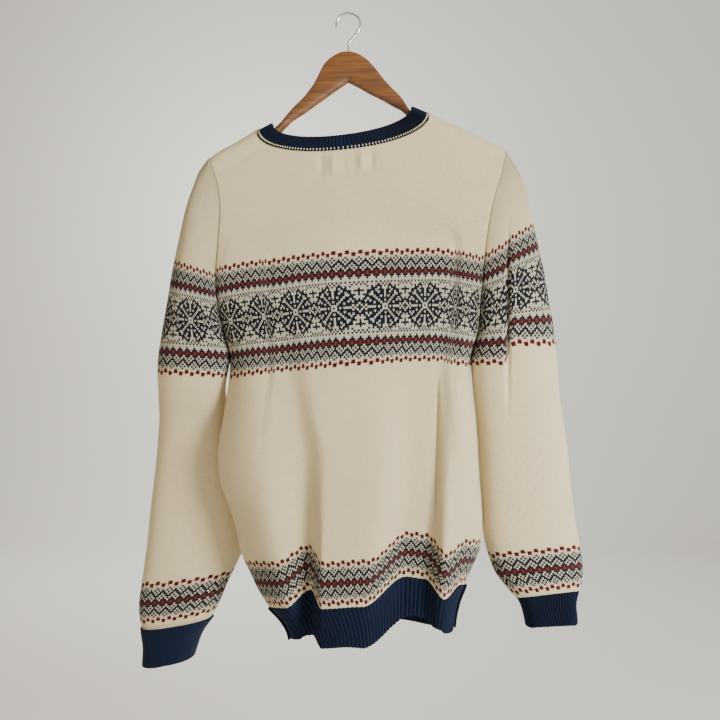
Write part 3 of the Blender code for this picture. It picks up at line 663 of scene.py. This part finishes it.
bodyLook = {
    "firstStitch": -84,
    "lastStitch": 100,
    "hemBand": (-787.4, -726.6),
    "chestBand": (-473.9, -318.6),
    "plainStep": 11.4,                  # between the mesh rows of plain knitting
    "yokeRows": {"back": 17, "front": 15, "shoulder": 17},
    # mm from the neckband's outer edge to the panels' necklines, inside it at the back and outside
    # it at the front
    "neckOffset": 0.6,
    "shoulderBend": 2.4,                # of the front's edge from the ridge to the shoulder seam
    "thick": 2.6,
    "seamDip": 0.6,                     # how far the seams lie below the knitting
}
# Where the back's stitches lie across the chest, as the folds there draw them together.
chestStitches = ((-72, -165), (-48, -118.8), (-40, -109), (-24, -75.6), (0, -23.6), (24, 47.8),
                 (48, 102.2), (60, 129.3), (66, 140), (78, 150), (84, 158.9))
chestDraw = {
    "middle": 1.5, "half": 177.5,       # of the chest that those places are for
    "foot": -660.0, "footFade": 130.0,  # below this height the stitches lie evenly
    "topFade": 55.0,                    # and up to the yoke they spread out again
}
creases = (
    # x and height of the upper end, x and height of the lower end, width, depth
    (146, -295, 143, -520, 6.5, 6),
    (-106, -290, -108, -520, 5, 3.5),
    (121, -480, 119, -725, 2.6, 4),
)
creaseFade = 40.0                       # at each end
puckers = (
    # x, height of the middle, half length, width, how far it stands out
    (-36, -204, 19, 5, -3.4), (-21, -203, 17, 4.6, 3.6), (-6, -204, 14, 5, -1.6),
    (7, -200, 14, 4.6, -1.6), (18, -198, 16, 4.4, 3.4), (32, -197, 17, 4.6, -3.2),
)


def creaseOut(x, z):
    out = 0.0
    for x0, z0, x1, z1, width, depth in creases:
        line = x0 + (x1 - x0) * (z - z0) / (z1 - z0)
        fade = ease((z0 - z) / creaseFade) * ease((z - z1) / creaseFade)
        out = out - depth * fade * np.exp(-((x - line) / width) ** 2)
    return out


def bodyRow(z, numbers, facing):
    # one row of the back (facing -1) or the front (1), with its stitches evenly along the cloth
    folds = backFolds if facing < 0 else frontFolds
    left, right = bodySides(z)
    middle, half = (left + right) / 2, (right - left) / 2
    power = 2 / bodyRoundness
    angles = np.linspace(-math.pi / 2, math.pi / 2, 901)
    sine = np.sin(angles)
    x = middle + half * signedPower(sine, power)
    cover = np.maximum(np.cos(angles), 0.0) ** power
    fold = foldOut(folds, x, z)
    if facing < 0:
        fold = fold + creaseOut(x, z)
    up = rowRise(folds, x, z)
    seam = np.maximum(column(bodyTable, "seam", z + up), 0.0)
    full = column(bodyTable, "back" if facing < 0 else "front", z)
    y = facing * (seam + (full - seam + fold) * cover)
    length = runLength(x, y)
    first, last = bodyLook["firstStitch"], bodyLook["lastStitch"]
    at = (numbers - first) / (last - first) * length[-1]
    if facing < 0:
        drawn = float(ease((z - chestDraw["foot"]) / chestDraw["footFade"])
                      * ease((yoke - z) / chestDraw["topFade"]))
        knots, xs = np.array(chestStitches, dtype=float).T
        xs = middle + (xs - chestDraw["middle"]) * half / chestDraw["half"]
        lengths = np.interp(xs, x, length)
        byFold = np.interp(numbers, [first, *knots, last], [0, *lengths, length[-1]])
        at = at + (byFold - at) * drawn
    x, y = np.interp(at, length, x), np.interp(at, length, y)
    return x, y, z + rowRise(folds, x, z)


def yokePoints(shares, s, neckEnd=None):
    # points at these shares of the way across, s along the cloth from the ridge (below 0 at the
    # back); neckEnd is where a row stops at the neck
    shares, s = np.broadcast_arrays(np.asarray(shares, dtype=float), np.asarray(s, dtype=float))
    x = np.zeros_like(shares) if neckEnd is None else np.full_like(shares, neckEnd)
    for _ in range(10):
        z = curve(ridgeTable, x) - roll(s)[0]
        left, right = column(bodyTable, "left", z), column(bodyTable, "right", z)
        low = left if neckEnd is None or neckEnd < 0 else neckEnd
        high = right if neckEnd is None or neckEnd > 0 else neckEnd
        x = low + (high - low) * shares
    across = np.minimum(np.abs(2 * (x - left) / (right - left) - 1), 1.0)
    cover = rounded(across, bodyRoundness)
    depth = np.where(s < 0, bodyDepth(z, cover, -1), bodyDepth(z, cover, 1))
    for x0, z0, reach, width, out in puckers:
        fade = np.clip(1 - ((z - z0) / reach) ** 2, 0, 1)
        depth = depth + np.where(s < 0, out * fade * np.exp(-((x - x0) / width) ** 2), 0.0)
    return place(x, np.sign(s + 1e-9) * depth * roll(s)[1], z)


def neckline(side, x, clear):
    # height of the neckline, clear outside the neckband's outer edge
    outer = neckTable["outer"]
    (x0, z0), (x1, z1) = outer["left"], outer["right"]
    t = (x - (x0 + x1) / 2) / ((x1 - x0) / 2 + clear)
    chord = z0 + (z1 - z0) * (x - x0) / (x1 - x0)
    return chord - (outer[side] + clear) * rounded(np.minimum(np.abs(t), 1.0), neckRoundness)


def panelStart(facing):
    # a panel's knitting up to the yoke, and what the rows above it need
    first, last = bodyLook["firstStitch"], bodyLook["lastStitch"]
    numbers = np.linspace(first, last, 2 * (last - first) + 1)
    step = bodyLook["plainStep"]
    levels = rowLevels((*bandParts(hemTop, bodyLook["hemBand"], bodyLook["chestBand"], step),
                        (bodyLook["chestBand"][1], yoke, None, step)))
    main = stitchBlock(lambda z, n: place(*bodyRow(z, n, facing)), levels, numbers, 0)
    # share of each column across the yoke, and its length from the ridge down to there
    x, _, z = bodyRow(yoke, numbers, facing)
    left, right = column(bodyTable, "left", z), column(bodyTable, "right", z)
    shares = np.clip((x - left) / (right - left), 0, 1)
    return main, numbers, levels[1][-1], shares, alongRoll(curve(ridgeTable, x) - z)


def alongShoulders(shares):
    left, right = armholeTop["left"][0], armholeTop["right"][0]
    return left + (right - left) * shares


def yokeRows(main, shares, starts, tops, count, numbers, vStart):
    # rows from the yoke's foot to each column's end
    points, v = [], []
    for step in np.linspace(0, 1, count):
        s = starts * (1 - step) + tops * step
        points.append(yokePoints(shares, s))
        v.append(vStart + np.abs(starts - s) / stitchHeight)
    points[0] = main["points"][-1]
    return np.array(points), np.tile(numbers, (count, 1)), np.array(v)


def makeBack():
    main, numbers, vStart, shares, base = panelStart(-1)
    x = alongShoulders(shares)
    drop = np.where(x < 0, seamDrop["left"], seamDrop["right"])
    inNeck = (x > seamStart["left"]) & (x < seamStart["right"])
    neckDrop = curve(ridgeTable, x) - neckline("back", x, -bodyLook["neckOffset"])
    tops = alongRoll(np.maximum(np.where(inNeck, neckDrop, drop), 0.5))
    above = yokeRows(main, shares, -base, -tops, bodyLook["yokeRows"]["back"], numbers, vStart)
    return clothWall("backPanel", [main, plainBlock(*above)], bodyLook["thick"], False, -1,
                     bodyLook["seamDip"])


def makeFront():
    main, numbers, vStart, shares, base = panelStart(1)
    ends = alongShoulders(np.array([0.0, 1.0]))
    corners = (neckTable["outer"]["left"][0] - 1.0, neckTable["outer"]["right"][0] + 1.0)
    marks = [int(np.argmin(np.abs(alongShoulders(shares) - corner))) for corner in corners]
    for mark, corner in zip(marks, corners):
        shares[mark] = (corner - ends[0]) / (ends[1] - ends[0])
    x = alongShoulders(shares)
    inNeck = np.zeros(len(x), dtype=bool)
    inNeck[marks[0] + 1:marks[1]] = True
    neckDrop = curve(ridgeTable, x) - neckline("front", x, bodyLook["neckOffset"])
    neckTop = alongRoll(np.maximum(neckDrop, 0.0))
    tops = np.where(inNeck, np.maximum(neckTop, frontShoulder), frontShoulder)
    above = yokeRows(main, shares, base, tops, bodyLook["yokeRows"]["front"], numbers, vStart)
    blocks = [main, plainBlock(*above)]
    sides = (("left", corners[0], slice(0, marks[0] + 1)), ("right", corners[1], slice(marks[1], None)))
    for side, corner, columns in sides:
        # the shoulder: from the front over the ridge to the seam on the back
        part = shares[columns]
        along = (part - part[0]) / (part[-1] - part[0])
        end = -float(alongRoll(seamDrop[side]))
        points, v = [above[0][-1][columns]], [above[2][-1][columns]]
        for s in np.linspace(frontShoulder, end, bodyLook["yokeRows"]["shoulder"])[1:]:
            past = (max(-s, 0.0) / -end) ** bodyLook["shoulderBend"]
            points.append(yokePoints(along, s, corner + (seamStart[side] - corner) * past))
            v.append(v[0] + (frontShoulder - s) / stitchHeight)
        u = np.tile(numbers[columns], (len(points), 1))
        blocks.append(plainBlock(np.array(points), u, np.array(v)))
    return clothWall("frontPanel", blocks, bodyLook["thick"], True, 1, bodyLook["seamDip"])


sleeveLook = {
    "smallBand": {"left": (-818.6, -761.4), "right": (-778.6, -721.4)},
    "chestBand": {"left": (-487.5, -337.3), "right": (-466.2, -302.8)},
    "motif": 25,            # the stitch at a rose's middle, counted from the underarm
    "stitches": 104,        # around
    "plainStep": 9.0,       # between the mesh rows of plain knitting
    # above the wide band: how far below the armhole's top, and the step up to there
    "topSteps": ((14.6, 8.0), (4.6, 2.5), (0.6, 1.0)),
    "thick": 2.6,
}
# The fold that runs down the right sleeve.
sleeveFold = {
    "line": 216.0,
    # height, and how much higher the rows lie outside it
    "jump": ((-580, 0), (-490, 24), (-440, 28), (-340, 7), (-290, 2)),
    "sharpness": 1.2,
    "grooveDepth": 5.0,
    "grooveWidth": 3.0,
    "foot": (-560.0, 80.0),  # height, and the length over which the groove fades in
    "top": (-270.0, 60.0),
}


def sleeveRow(side, z, shares):
    # one row round a sleeve, from its underarm over the back and round by the front
    table = sleeveTables[side]
    hand = -1 if side == "left" else 1
    rise = [float(column(table, name, z)) for name in ("outerRise", "innerRise")]
    outer = float(column(table, "outer", z + rise[0]))
    above = z > armpit
    armhole = bodyTable, side
    inner = float(column(*(armhole if above else (table, "inner")), z + rise[1]))
    depth, forward = (float(column(table, name, z)) for name in ("depth", "forward"))
    seam = 0.0
    if above:
        drop = max(armholeTop[side][1] - z - rise[1], 0.0)
        seam = max(float(column(bodyTable, "seam", z + rise[1]) * roll(alongRoll(drop))[1]), 0.0)
        depth = max(depth * float(roll(alongRoll(drop + 2.0))[1]), seam * 1.02)
    power = sleeveRoundness
    cut = rounded(seam / depth, power)
    half = abs(outer - inner) / (1 + cut)
    middle = outer - hand * half
    start = math.acos(cut ** (power / 2))
    angles = np.linspace(start, 2 * math.pi - start, 721)
    cosine, sine = np.cos(angles), np.sin(angles)
    x = middle - hand * half * signedPower(cosine, 2 / power)
    y = forward - depth * signedPower(sine, 2 / power)
    length = runLength(x, y)
    x, y = (np.interp(shares * length[-1], length, part) for part in (x, y))
    across = (x - inner) / (outer - inner)
    up = rise[1] + (rise[0] - rise[1]) * across
    if side == "right":
        back = ease((0.5 - shares) * 20.0)
        off = x - sleeveFold["line"]
        step = 1 / (1 + np.exp(-off / sleeveFold["sharpness"]))
        up = up + float(np.interp(z, *zip(*sleeveFold["jump"]))) * (step - across) * back
        (foot, footFade), (top, topFade) = sleeveFold["foot"], sleeveFold["top"]
        groove = np.exp(-(off / sleeveFold["grooveWidth"]) ** 2)
        groove = groove * float(ease((z - foot) / footFade) * ease((top - z) / topFade))
        y = y + sleeveFold["grooveDepth"] * groove * back
    return place(x, y, z + up)


def makeSleeve(side):
    count = sleeveLook["stitches"]
    numbers = np.linspace(0, count, 2 * count + 1)
    bands = sleeveLook["smallBand"][side], sleeveLook["chestBand"][side]
    parts = bandParts(cuffLevels[side]["top"] - 0.5, *bands, sleeveLook["plainStep"])
    low = bands[1][1]
    for drop, step in sleeveLook["topSteps"]:
        high = armholeTop[side][1] - drop
        parts.append((low, high, None, step))
        low = high
    levels = rowLevels(parts)
    block = stitchBlock(lambda z, n: sleeveRow(side, z, n / count), levels, numbers, sleeveLook["motif"])
    return clothWall("sleeve" + side.capitalize(), [block], sleeveLook["thick"], side == "left", 0,
                     bodyLook["seamDip"])


ribLook = {
    "groove": 1.7,          # mm between the ribs' crests and the bottom of the grooves
    "columns": 6,           # mesh columns for each rib
    "rowHeight": 2.7,
    "edgeHeight": 0.9,      # of the rounding along a free edge, and how far it draws in there
    "edgeRound": (1.1, 0.3),
    "thick": 3.0,
    "hemRibs": 62,
    "cuffRibs": 56,
    "neckRibs": 156,
    "tone": 0.03,           # lighter and darker ribs
}


def ribBlock(rowAt, length, ribs, closed, ends):
    # ends: rounding at the low and high edge, 1 for a free edge and 0 for a hidden one
    per = ribLook["columns"]
    shares = np.linspace(0, 1, ribs * per + 1)
    count = max(3, round(length / ribLook["rowHeight"]))
    edge = ribLook["edgeHeight"] / length
    vs = np.unique(np.concatenate([np.linspace(0, 1, count + 1), [edge, 1 - edge]]))
    base = np.array([rowAt(v, shares) for v in vs])
    if closed:
        normals = gridNormals(base[:, :-1], True)
        normals = np.concatenate([normals, normals[:, :1]], axis=1)
    else:
        normals = gridNormals(base, False)
    phase = np.arange(len(shares)) / per
    crest = np.clip(0.62 - 0.75 * np.cos(2 * math.pi * phase), 0.0, 1.0)
    rounding = np.zeros((len(vs), 1, 1))
    for k, drawIn in enumerate(ribLook["edgeRound"]):
        rounding[k], rounding[-1 - k] = drawIn * ends[0], drawIn * ends[1]
    down = ribLook["groove"] * (1 - crest)[None, :, None] + rounding
    deep = ribLook["thick"] + ribLook["groove"] * 0.4 - 0.8 * rounding
    tone = 1 + ribLook["tone"] * chance.standard_normal((len(vs) - 1, ribs, 1))
    colours = palette["v"] * np.repeat(tone, per, axis=1)
    return {"points": base - normals * down * mm, "inner": base - normals * deep * mm,
            "u": np.tile(phase, (len(vs), 1)),
            "v": np.tile((vs * length / stitchHeight)[:, None], (1, len(shares))), "colours": colours}


cuffLook = {
    "tuck": 0.03,                            # how much narrower than the sleeve the top is
    "narrow": {"left": 11.0, "right": 0.0},  # mm that the low edge's inner side is drawn in
    "bend": 0.8,                             # of that side, 1 is straight
    "lower": {"left": 5.0, "right": 0.0},    # mm that the low edge hangs lower
}


def makeCuff(side):
    levels = cuffLevels[side]

    def rowAt(v, shares):
        z = levels["bottom"] + (levels["top"] + 0.5 - levels["bottom"]) * v
        row = sleeveRow(side, z, shares)
        middle = row.mean(axis=0)
        row = middle + (row - middle) * (1 - cuffLook["tuck"] * v ** 2)
        across = (row[:, 0] - row[:, 0].min()) / np.ptp(row[:, 0])
        row[:, 0] -= cuffLook["narrow"][side] * mm * across * (1 - v) ** cuffLook["bend"]
        row[:, 2] -= cuffLook["lower"][side] * mm * (1 - v)
        return row

    block = ribBlock(rowAt, levels["top"] - levels["bottom"], ribLook["cuffRibs"], True, (1, 0))
    return clothWall("cuff" + side.capitalize(), [block], 0, side == "left")


# How much higher the low edge of each hem hangs than an even strip would.
frontLift = ((-90, 14), (-80, 13), (-62, 0))
backLift = ((-90, 14), (-80, 13), (-66, -2), (-51, -8), (-40, 0), (-4, 0), (21, -3), (37, -5),
            (50, -6), (65, -5), (88, 3), (114, -1), (121, 6), (127, 11), (134, 6), (141, 0))


def makeHem(facing):
    def rowAt(v, shares):
        z = hemBottom + (hemTop + 0.6 - hemBottom) * v
        first, last = bodyLook["firstStitch"], bodyLook["lastStitch"]
        x, y, z = bodyRow(z, first + (last - first) * shares, facing)
        lift = np.interp(x, *zip(*(backLift if facing < 0 else frontLift)))
        return place(x, y, z + lift * (1 - v))

    block = ribBlock(rowAt, hemTop - hemBottom, ribLook["hemRibs"], False, (1, 0))
    return clothWall("hemBack" if facing < 0 else "hemFront", [block], 0, facing > 0)


neckLook = {
    "tall": 20.0,
    "lowEdge": -0.24,       # outside the outer edge, as a share of the band
    "teeth": 0.07,          # the same, below each rib
    "proudBack": 2.4,       # mm outside the panels' depth
    "proudFront": 3.0,
}


def neckPoints(v, shares):
    # points of the neckband, v from its outer edge (0) to its inner edge (1)
    angle = 2 * math.pi * shares
    sine, cosine = np.sin(angle), np.cos(angle)
    back = sine >= 0
    across = -signedPower(cosine, 2 / neckRoundness)
    sag = np.abs(sine) ** (2 / neckRoundness)
    edges = []
    for edge in neckTable.values():
        (x0, z0), (x1, z1) = edge["left"], edge["right"]
        x = (x0 + x1) / 2 + across * (x1 - x0) / 2
        chord = (z0 + z1) / 2 + across * (z1 - z0) / 2
        edges.append(np.array([x, chord - np.where(back, edge["back"], edge["front"]) * sag]))
    x, z = edges[0] + (edges[1] - edges[0]) * v
    drop = np.maximum(curve(ridgeTable, x) - z, 0.0)
    depth = column(bodyTable, "back", z) + np.where(back, neckLook["proudBack"], neckLook["proudFront"])
    return place(x, np.where(back, -1, 1) * depth * roll(alongRoll(drop))[1], z)


def neckRow(v, shares):
    # the low edge shows a tooth below each rib, which is gone a few millimetres above it
    tooth = 0.5 - 0.5 * np.cos(2 * math.pi * shares * ribLook["neckRibs"])
    low = neckLook["lowEdge"]
    return neckPoints(low + (1 - low) * v - neckLook["teeth"] * tooth * (1 - v) ** 8, shares)


def makeNeckband():
    block = ribBlock(neckRow, neckLook["tall"], ribLook["neckRibs"], True, (1, 1))
    return clothWall("ribbedNeckband", [block], 0, False)


# Each linking stitch is an egg: half its length, width and height, how far it lies above the
# neckband's low edge as a share of the band, and how far out of the knitting.
linkLook = {"long": 0.75, "wide": 1.15, "high": 0.7, "above": 0.1, "out": -0.6, "rings": 7, "sides": 10}


def makeLinking():
    # the cream stitches that link the neckband to the neckline, one between two ribs
    fine = np.linspace(0, 1, 2001)
    line, inside = neckRow(linkLook["above"], fine), neckRow(linkLook["above"] + 0.2, fine)
    rings, sides = linkLook["rings"], linkLook["sides"]
    points, faces = [], []
    for k in range(ribLook["neckRibs"]):
        near = round(2000 * k / ribLook["neckRibs"])
        along = line[min(near + 3, 2000)] - line[max(near - 3, 0)]
        along /= np.linalg.norm(along)
        out = np.cross(along, inside[near] - line[near])
        out /= np.linalg.norm(out)
        upward = np.cross(out, along)
        faces += tubeFaces(rings, sides, len(points), capped=False)
        for tilt in np.linspace(0, math.pi, rings):
            middle = line[near] + mm * (out * linkLook["out"] - along * linkLook["long"] * math.cos(tilt))
            for turn in np.linspace(0, 2 * math.pi, sides, endpoint=False):
                points.append(middle + mm * math.sin(tilt) * (upward * linkLook["wide"] * math.cos(turn)
                                                              + out * linkLook["high"] * math.sin(turn)))
    points = np.array(points)
    first, index = welded(points, 0.005)
    kept = []
    for face in index[np.array(faces)].tolist():
        kept.append([corner for k, corner in enumerate(face) if corner not in face[:k]])
    return makeObject("neckLinking", points[first], [face for face in kept if len(face) > 2])


hangerLook = {
    "thick": 14.0,
    "tipThick": 11.0,
    "tipRound": 9.0,        # length over which each tip is rounded to half its thickness
    "bevel": 5.0,           # along the low edge at the back
    "topRound": 3.0,
    "sections": 150,
    "dark": "#4C2B0D",      # grain
    "light": "#7C4D1B",
    "grain": (71.43, 11.11, 3.846),  # mm along, through and across one streak of the grain
    "pores": (16.67, 1.111, 0.625),  # mm, several times coarser than real to show
    "poreRelief": 0.2,      # mm
}


def softened(corners, times):
    # cuts off every corner of the outline, and so rounds it
    for _ in range(times):
        nxt = np.roll(corners, -1, axis=0)
        corners = np.stack([corners * 0.75 + nxt * 0.25, corners * 0.25 + nxt * 0.75], axis=1).reshape(-1, 2)
    return corners


def makeHanger():
    tableX, tops, bottoms = zip(*hangerTable)
    left, right = tableX[0], tableX[-1]
    xs = np.linspace(left, right, hangerLook["sections"])
    points = []
    for x, top, bottom in zip(xs, curve(zip(tableX, tops), xs), np.interp(xs, tableX, bottoms)):
        thick = hangerLook["thick"] + (hangerLook["tipThick"] - hangerLook["thick"]) * abs(x) / right
        thick *= 0.5 + 0.5 * float(ease(min(x - left, right - x) / hangerLook["tipRound"]))
        y = thick / 2
        bevel = min(hangerLook["bevel"], (top - bottom) * 0.3)
        shoulder = top - min(hangerLook["topRound"], (top - bottom) * 0.25)
        corners = np.array([(-y, shoulder), (-y * 0.55, top), (y * 0.55, top), (y, shoulder),
                            (y, bottom + bevel * 0.5), (y * 0.6, bottom), (-y * 0.3, bottom),
                            (-y, bottom + bevel)])
        points.append([(x, along, high) for along, high in softened(corners, 2)])
    points = np.array(points) * mm
    faces = tubeFaces(*points.shape[:2], flip=True)
    return makeObject("woodenHanger", points.reshape(-1, 3), faces, sharp=35.0)


hookLook = {
    "wire": 3.5,
    "radius": 16.0,
    "lowerBend": 14.0,
    "tipAngle": 195.0,
    "endAngle": -40.0,
    "root": -50.3,
    "colour": "#C9CACC",
    "drawMarks": 1.429,     # mm, many times coarser than real to show
}


def makeHook():
    wire, radius, bend = hookLook["wire"] / 2, hookLook["radius"], hookLook["lowerBend"]
    centre = wire - radius
    turns = np.radians(np.linspace(hookLook["tipAngle"], hookLook["endAngle"], 60))
    path = [(radius * math.cos(turn), centre + radius * math.sin(turn)) for turn in turns]
    lean = math.radians(-hookLook["endAngle"])
    bendX = bend * (1 - math.cos(lean))
    straight = (path[-1][0] - bendX) / math.sin(lean)
    x, z = path[-1][0] - straight * math.sin(lean), path[-1][1] - straight * math.cos(lean)
    for step in range(1, 13):
        turn = lean * (1 - step / 12)
        path.append((x - bendX + bend * (1 - math.cos(turn)), z - bend * (math.sin(lean) - math.sin(turn))))
    path.append((0.0, hookLook["root"]))
    path = np.array([(x, 0.0, z) for x, z in path])
    length = runLength(path[:, 0], path[:, 2])
    # close sections round off the tip
    at = np.concatenate([np.linspace(0, wire, 6), np.linspace(2.5, length[-1], 110)])
    path = np.stack([np.interp(at, length, path[:, k]) for k in range(3)], axis=1)
    radii = wire * np.sqrt(np.clip(1 - (1 - np.minimum(at / wire, 1.0)) ** 2, 0.02, 1))
    return sweep("steelHook", path, radii)


def sizeScale(sizes):
    return tuple(1 / (size * mm) for size in sizes)


def woodFinish():
    # Lacquered beech: brown grain in streaks along the arms, fine pores, and a thin clear coat.
    finish, tree, shader = newFinish("lacqueredBeech", {"Roughness": 0.5, "Coat Weight": 0.12,
                                                        "Coat Roughness": 0.3})
    place = addNode(tree, "TexCoord").outputs["Object"]
    streaks = addNode(tree, "Mapping", (("Vector", place), ("Scale", sizeScale(hangerLook["grain"]))))
    grain = addNode(tree, "TexNoise", (("Vector", streaks), ("Scale", 1.0), ("Detail", 6.0),
                                       ("Distortion", 0.6)))
    fine = addNode(tree, "Mapping", (("Vector", place), ("Scale", sizeScale(hangerLook["pores"]))))
    pores = addNode(tree, "TexNoise", (("Vector", fine), ("Scale", 1.0), ("Detail", 2.0)))
    ramp = addNode(tree, "ValToRGB", ((0, grain),))
    for element, position, colour in zip(ramp.color_ramp.elements, (0.32, 0.68), ("dark", "light")):
        element.position = position
        element.color = (*srgb(hangerLook[colour]), 1.0)
    shade = addNode(tree, "Math", ((0, pores), (1, 0.24), (2, 0.86)), operation="MULTIPLY_ADD")
    mixed = addNode(tree, "VectorMath", ((0, ramp), ("Scale", shade)), operation="SCALE")
    bump = addNode(tree, "Bump", (("Height", pores), ("Strength", 0.25),
                                  ("Distance", hangerLook["poreRelief"] * mm)))
    tree.links.new(mixed.outputs[0], shader.inputs["Base Color"])
    tree.links.new(bump.outputs[0], shader.inputs["Normal"])
    return finish


def steelFinish():
    # Bright drawn steel wire: fine marks from drawing dull its reflections unevenly.
    finish, tree, shader = newFinish("drawnSteelWire", {"Base Color": srgb(hookLook["colour"]),
                                                        "Metallic": 1.0, "Roughness": 0.26})
    place = addNode(tree, "TexCoord").outputs["Object"]
    marks = addNode(tree, "TexNoise", (("Vector", place), ("Scale", 1 / (hookLook["drawMarks"] * mm))))
    rough = addNode(tree, "Math", ((0, marks), (1, 0.14), (2, 0.19)), operation="MULTIPLY_ADD")
    tree.links.new(rough.outputs[0], shader.inputs["Roughness"])
    return finish


def plainFinish(name, colour, roughness):
    finish, _, _ = newFinish(name, {"Base Color": srgb(colour), "Roughness": roughness})
    return finish


creamKnit = knitFinish("creamWoolStockinette", yarnLook["stitchRelief"], 0.06)
navyRib = knitFinish("navyWoolRib", yarnLook["ribRelief"], 0.03)


def settle(piece, finish, slotName, node):
    piece.data.materials.append(finish)
    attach(piece, "root")
    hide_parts(node)
    return piece


knits = (
    # how it is made, material, slot, CAD node, flat width and length in metres, what it hangs on
    (makeBack, (), creamKnit, "cream_knit", "back_panel", 0.44, 0.66, "woodenHanger"),
    (makeFront, (), creamKnit, "cream_knit", "front_panel", 0.44, 0.66, "woodenHanger"),
    (makeSleeve, ("left",), creamKnit, "cream_knit", "sleeve_left", 0.23, 0.62, "frontPanel"),
    (makeSleeve, ("right",), creamKnit, "cream_knit", "sleeve_right", 0.23, 0.60, "frontPanel"),
    (makeHem, (-1,), navyRib, "navy_rib", "hem_back", 0.40, 0.054, "backPanel"),
    (makeHem, (1,), navyRib, "navy_rib", "hem_front", 0.40, 0.054, "frontPanel"),
    (makeCuff, ("left",), navyRib, "navy_rib", "cuff_left", 0.20, 0.047, "sleeveLeft"),
    (makeCuff, ("right",), navyRib, "navy_rib", "cuff_right", 0.20, 0.046, "sleeveRight"),
    (makeNeckband, (), navyRib, "navy_rib", "neckband", 0.56, 0.024, "backPanel"),
)
pieces = []
for make, which, finish, slotName, node, *_ in knits:
    pieces.append(settle(make(*which), finish, slotName, node))
    print(pieces[-1].name, "is made of", len(pieces[-1].data.polygons), "faces")
linking = makeLinking()
# Spun wool yarn: matt all round, as its loose fibres scatter the light.
linking.data.materials.append(plainFinish("creamWoolYarn", yarnLook["cream"], 0.9))
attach(linking, "root")
settle(makeHanger(), woodFinish(), "hanger_wood", "hanger_body")
settle(makeHook(), steelFinish(), "hook_steel", "hanger_hook")
print("linking, hanger and hook are made")

for piece, (*_, width, tall, under) in zip(pieces, knits):
    # a closed wall has two sides, so half its surface is the cloth's area
    area = sum(face.area for face in piece.data.polygons) / 2
    print(piece.name, "has", round(area / (width * tall), 3), "of its flat area")

# metres: heights of the floor and the wall's top, and where they end, as the camera sees them
roomLook = {"floor": -1.25, "top": 5.0, "near": -7.0, "wall": 3.2, "corner": 0.9, "wide": 7.0,
            "colour": "#D9D6D0"}
# Large soft globes of light: place, radius, power, colour.
lights = {
    "softKey": ((1.75, -1.5, -0.1), 0.4, 345.0, (0.98, 0.98, 1.0)),
    "warmFill": ((-1.6, -1.5, 0.35), 0.7, 56.0, (1.0, 0.8, 0.58)),
    "topSoft": ((0.1, 0.3, 1.4), 0.6, 30.0, (1.0, 0.97, 0.92)),
    "backSoft": ((-0.5, 1.9, 0.3), 0.6, 110.0, (1.0, 0.98, 0.95)),
}
viewLook = {"sensor": 36.0, "lens": 40.7, "worldColour": (1.0, 0.98, 0.94, 1.0), "worldStrength": 0.4}


def makeRoom():
    floor, back, corner = roomLook["floor"], roomLook["wall"], roomLook["corner"]
    line = [(roomLook["near"], floor), (back - corner, floor)]
    for turn in np.linspace(0, math.pi / 2, 16)[1:]:
        line.append((back - corner + corner * math.sin(turn), floor + corner * (1 - math.cos(turn))))
    line.append((back, roomLook["top"]))
    points = [(side * roomLook["wide"], y, z) for y, z in line for side in (-1, 1)]
    faces = [[2 * k, 2 * k + 1, 2 * k + 3, 2 * k + 2] for k in range(len(line) - 1)]
    room = makeObject("paleRoom", np.array(points), faces, sharp=80.0)
    # Matt backdrop paper: one even tone with no shine.
    room.data.materials.append(plainFinish("mattPaper", roomLook["colour"], 0.95))


def addToScene(name, data, location):
    made = bpy.data.objects.new(name, data)
    made.location = location
    bpy.context.scene.collection.objects.link(made)
    return made


makeRoom()
for name, (location, radius, power, colour) in lights.items():
    light = bpy.data.lights.new(name, "POINT")
    light.shadow_soft_size, light.energy, light.color = radius, power, colour
    addToScene(name, light, location).visible_camera = False
world = bpy.data.worlds.new("softRoom")
world.use_nodes = True
ambient = world.node_tree.nodes["Background"].inputs
ambient["Color"].default_value = viewLook["worldColour"]
ambient["Strength"].default_value = viewLook["worldStrength"]
bpy.context.scene.world = world

lens = bpy.data.cameras.new("view")
lens.sensor_width, lens.lens = viewLook["sensor"], viewLook["lens"]
camera = addToScene("view", lens, [part * mm for part in viewPlace])
camera.rotation_euler = (math.pi / 2, 0.0, 0.0)
bpy.context.scene.camera = camera
print("room, light and camera are set")
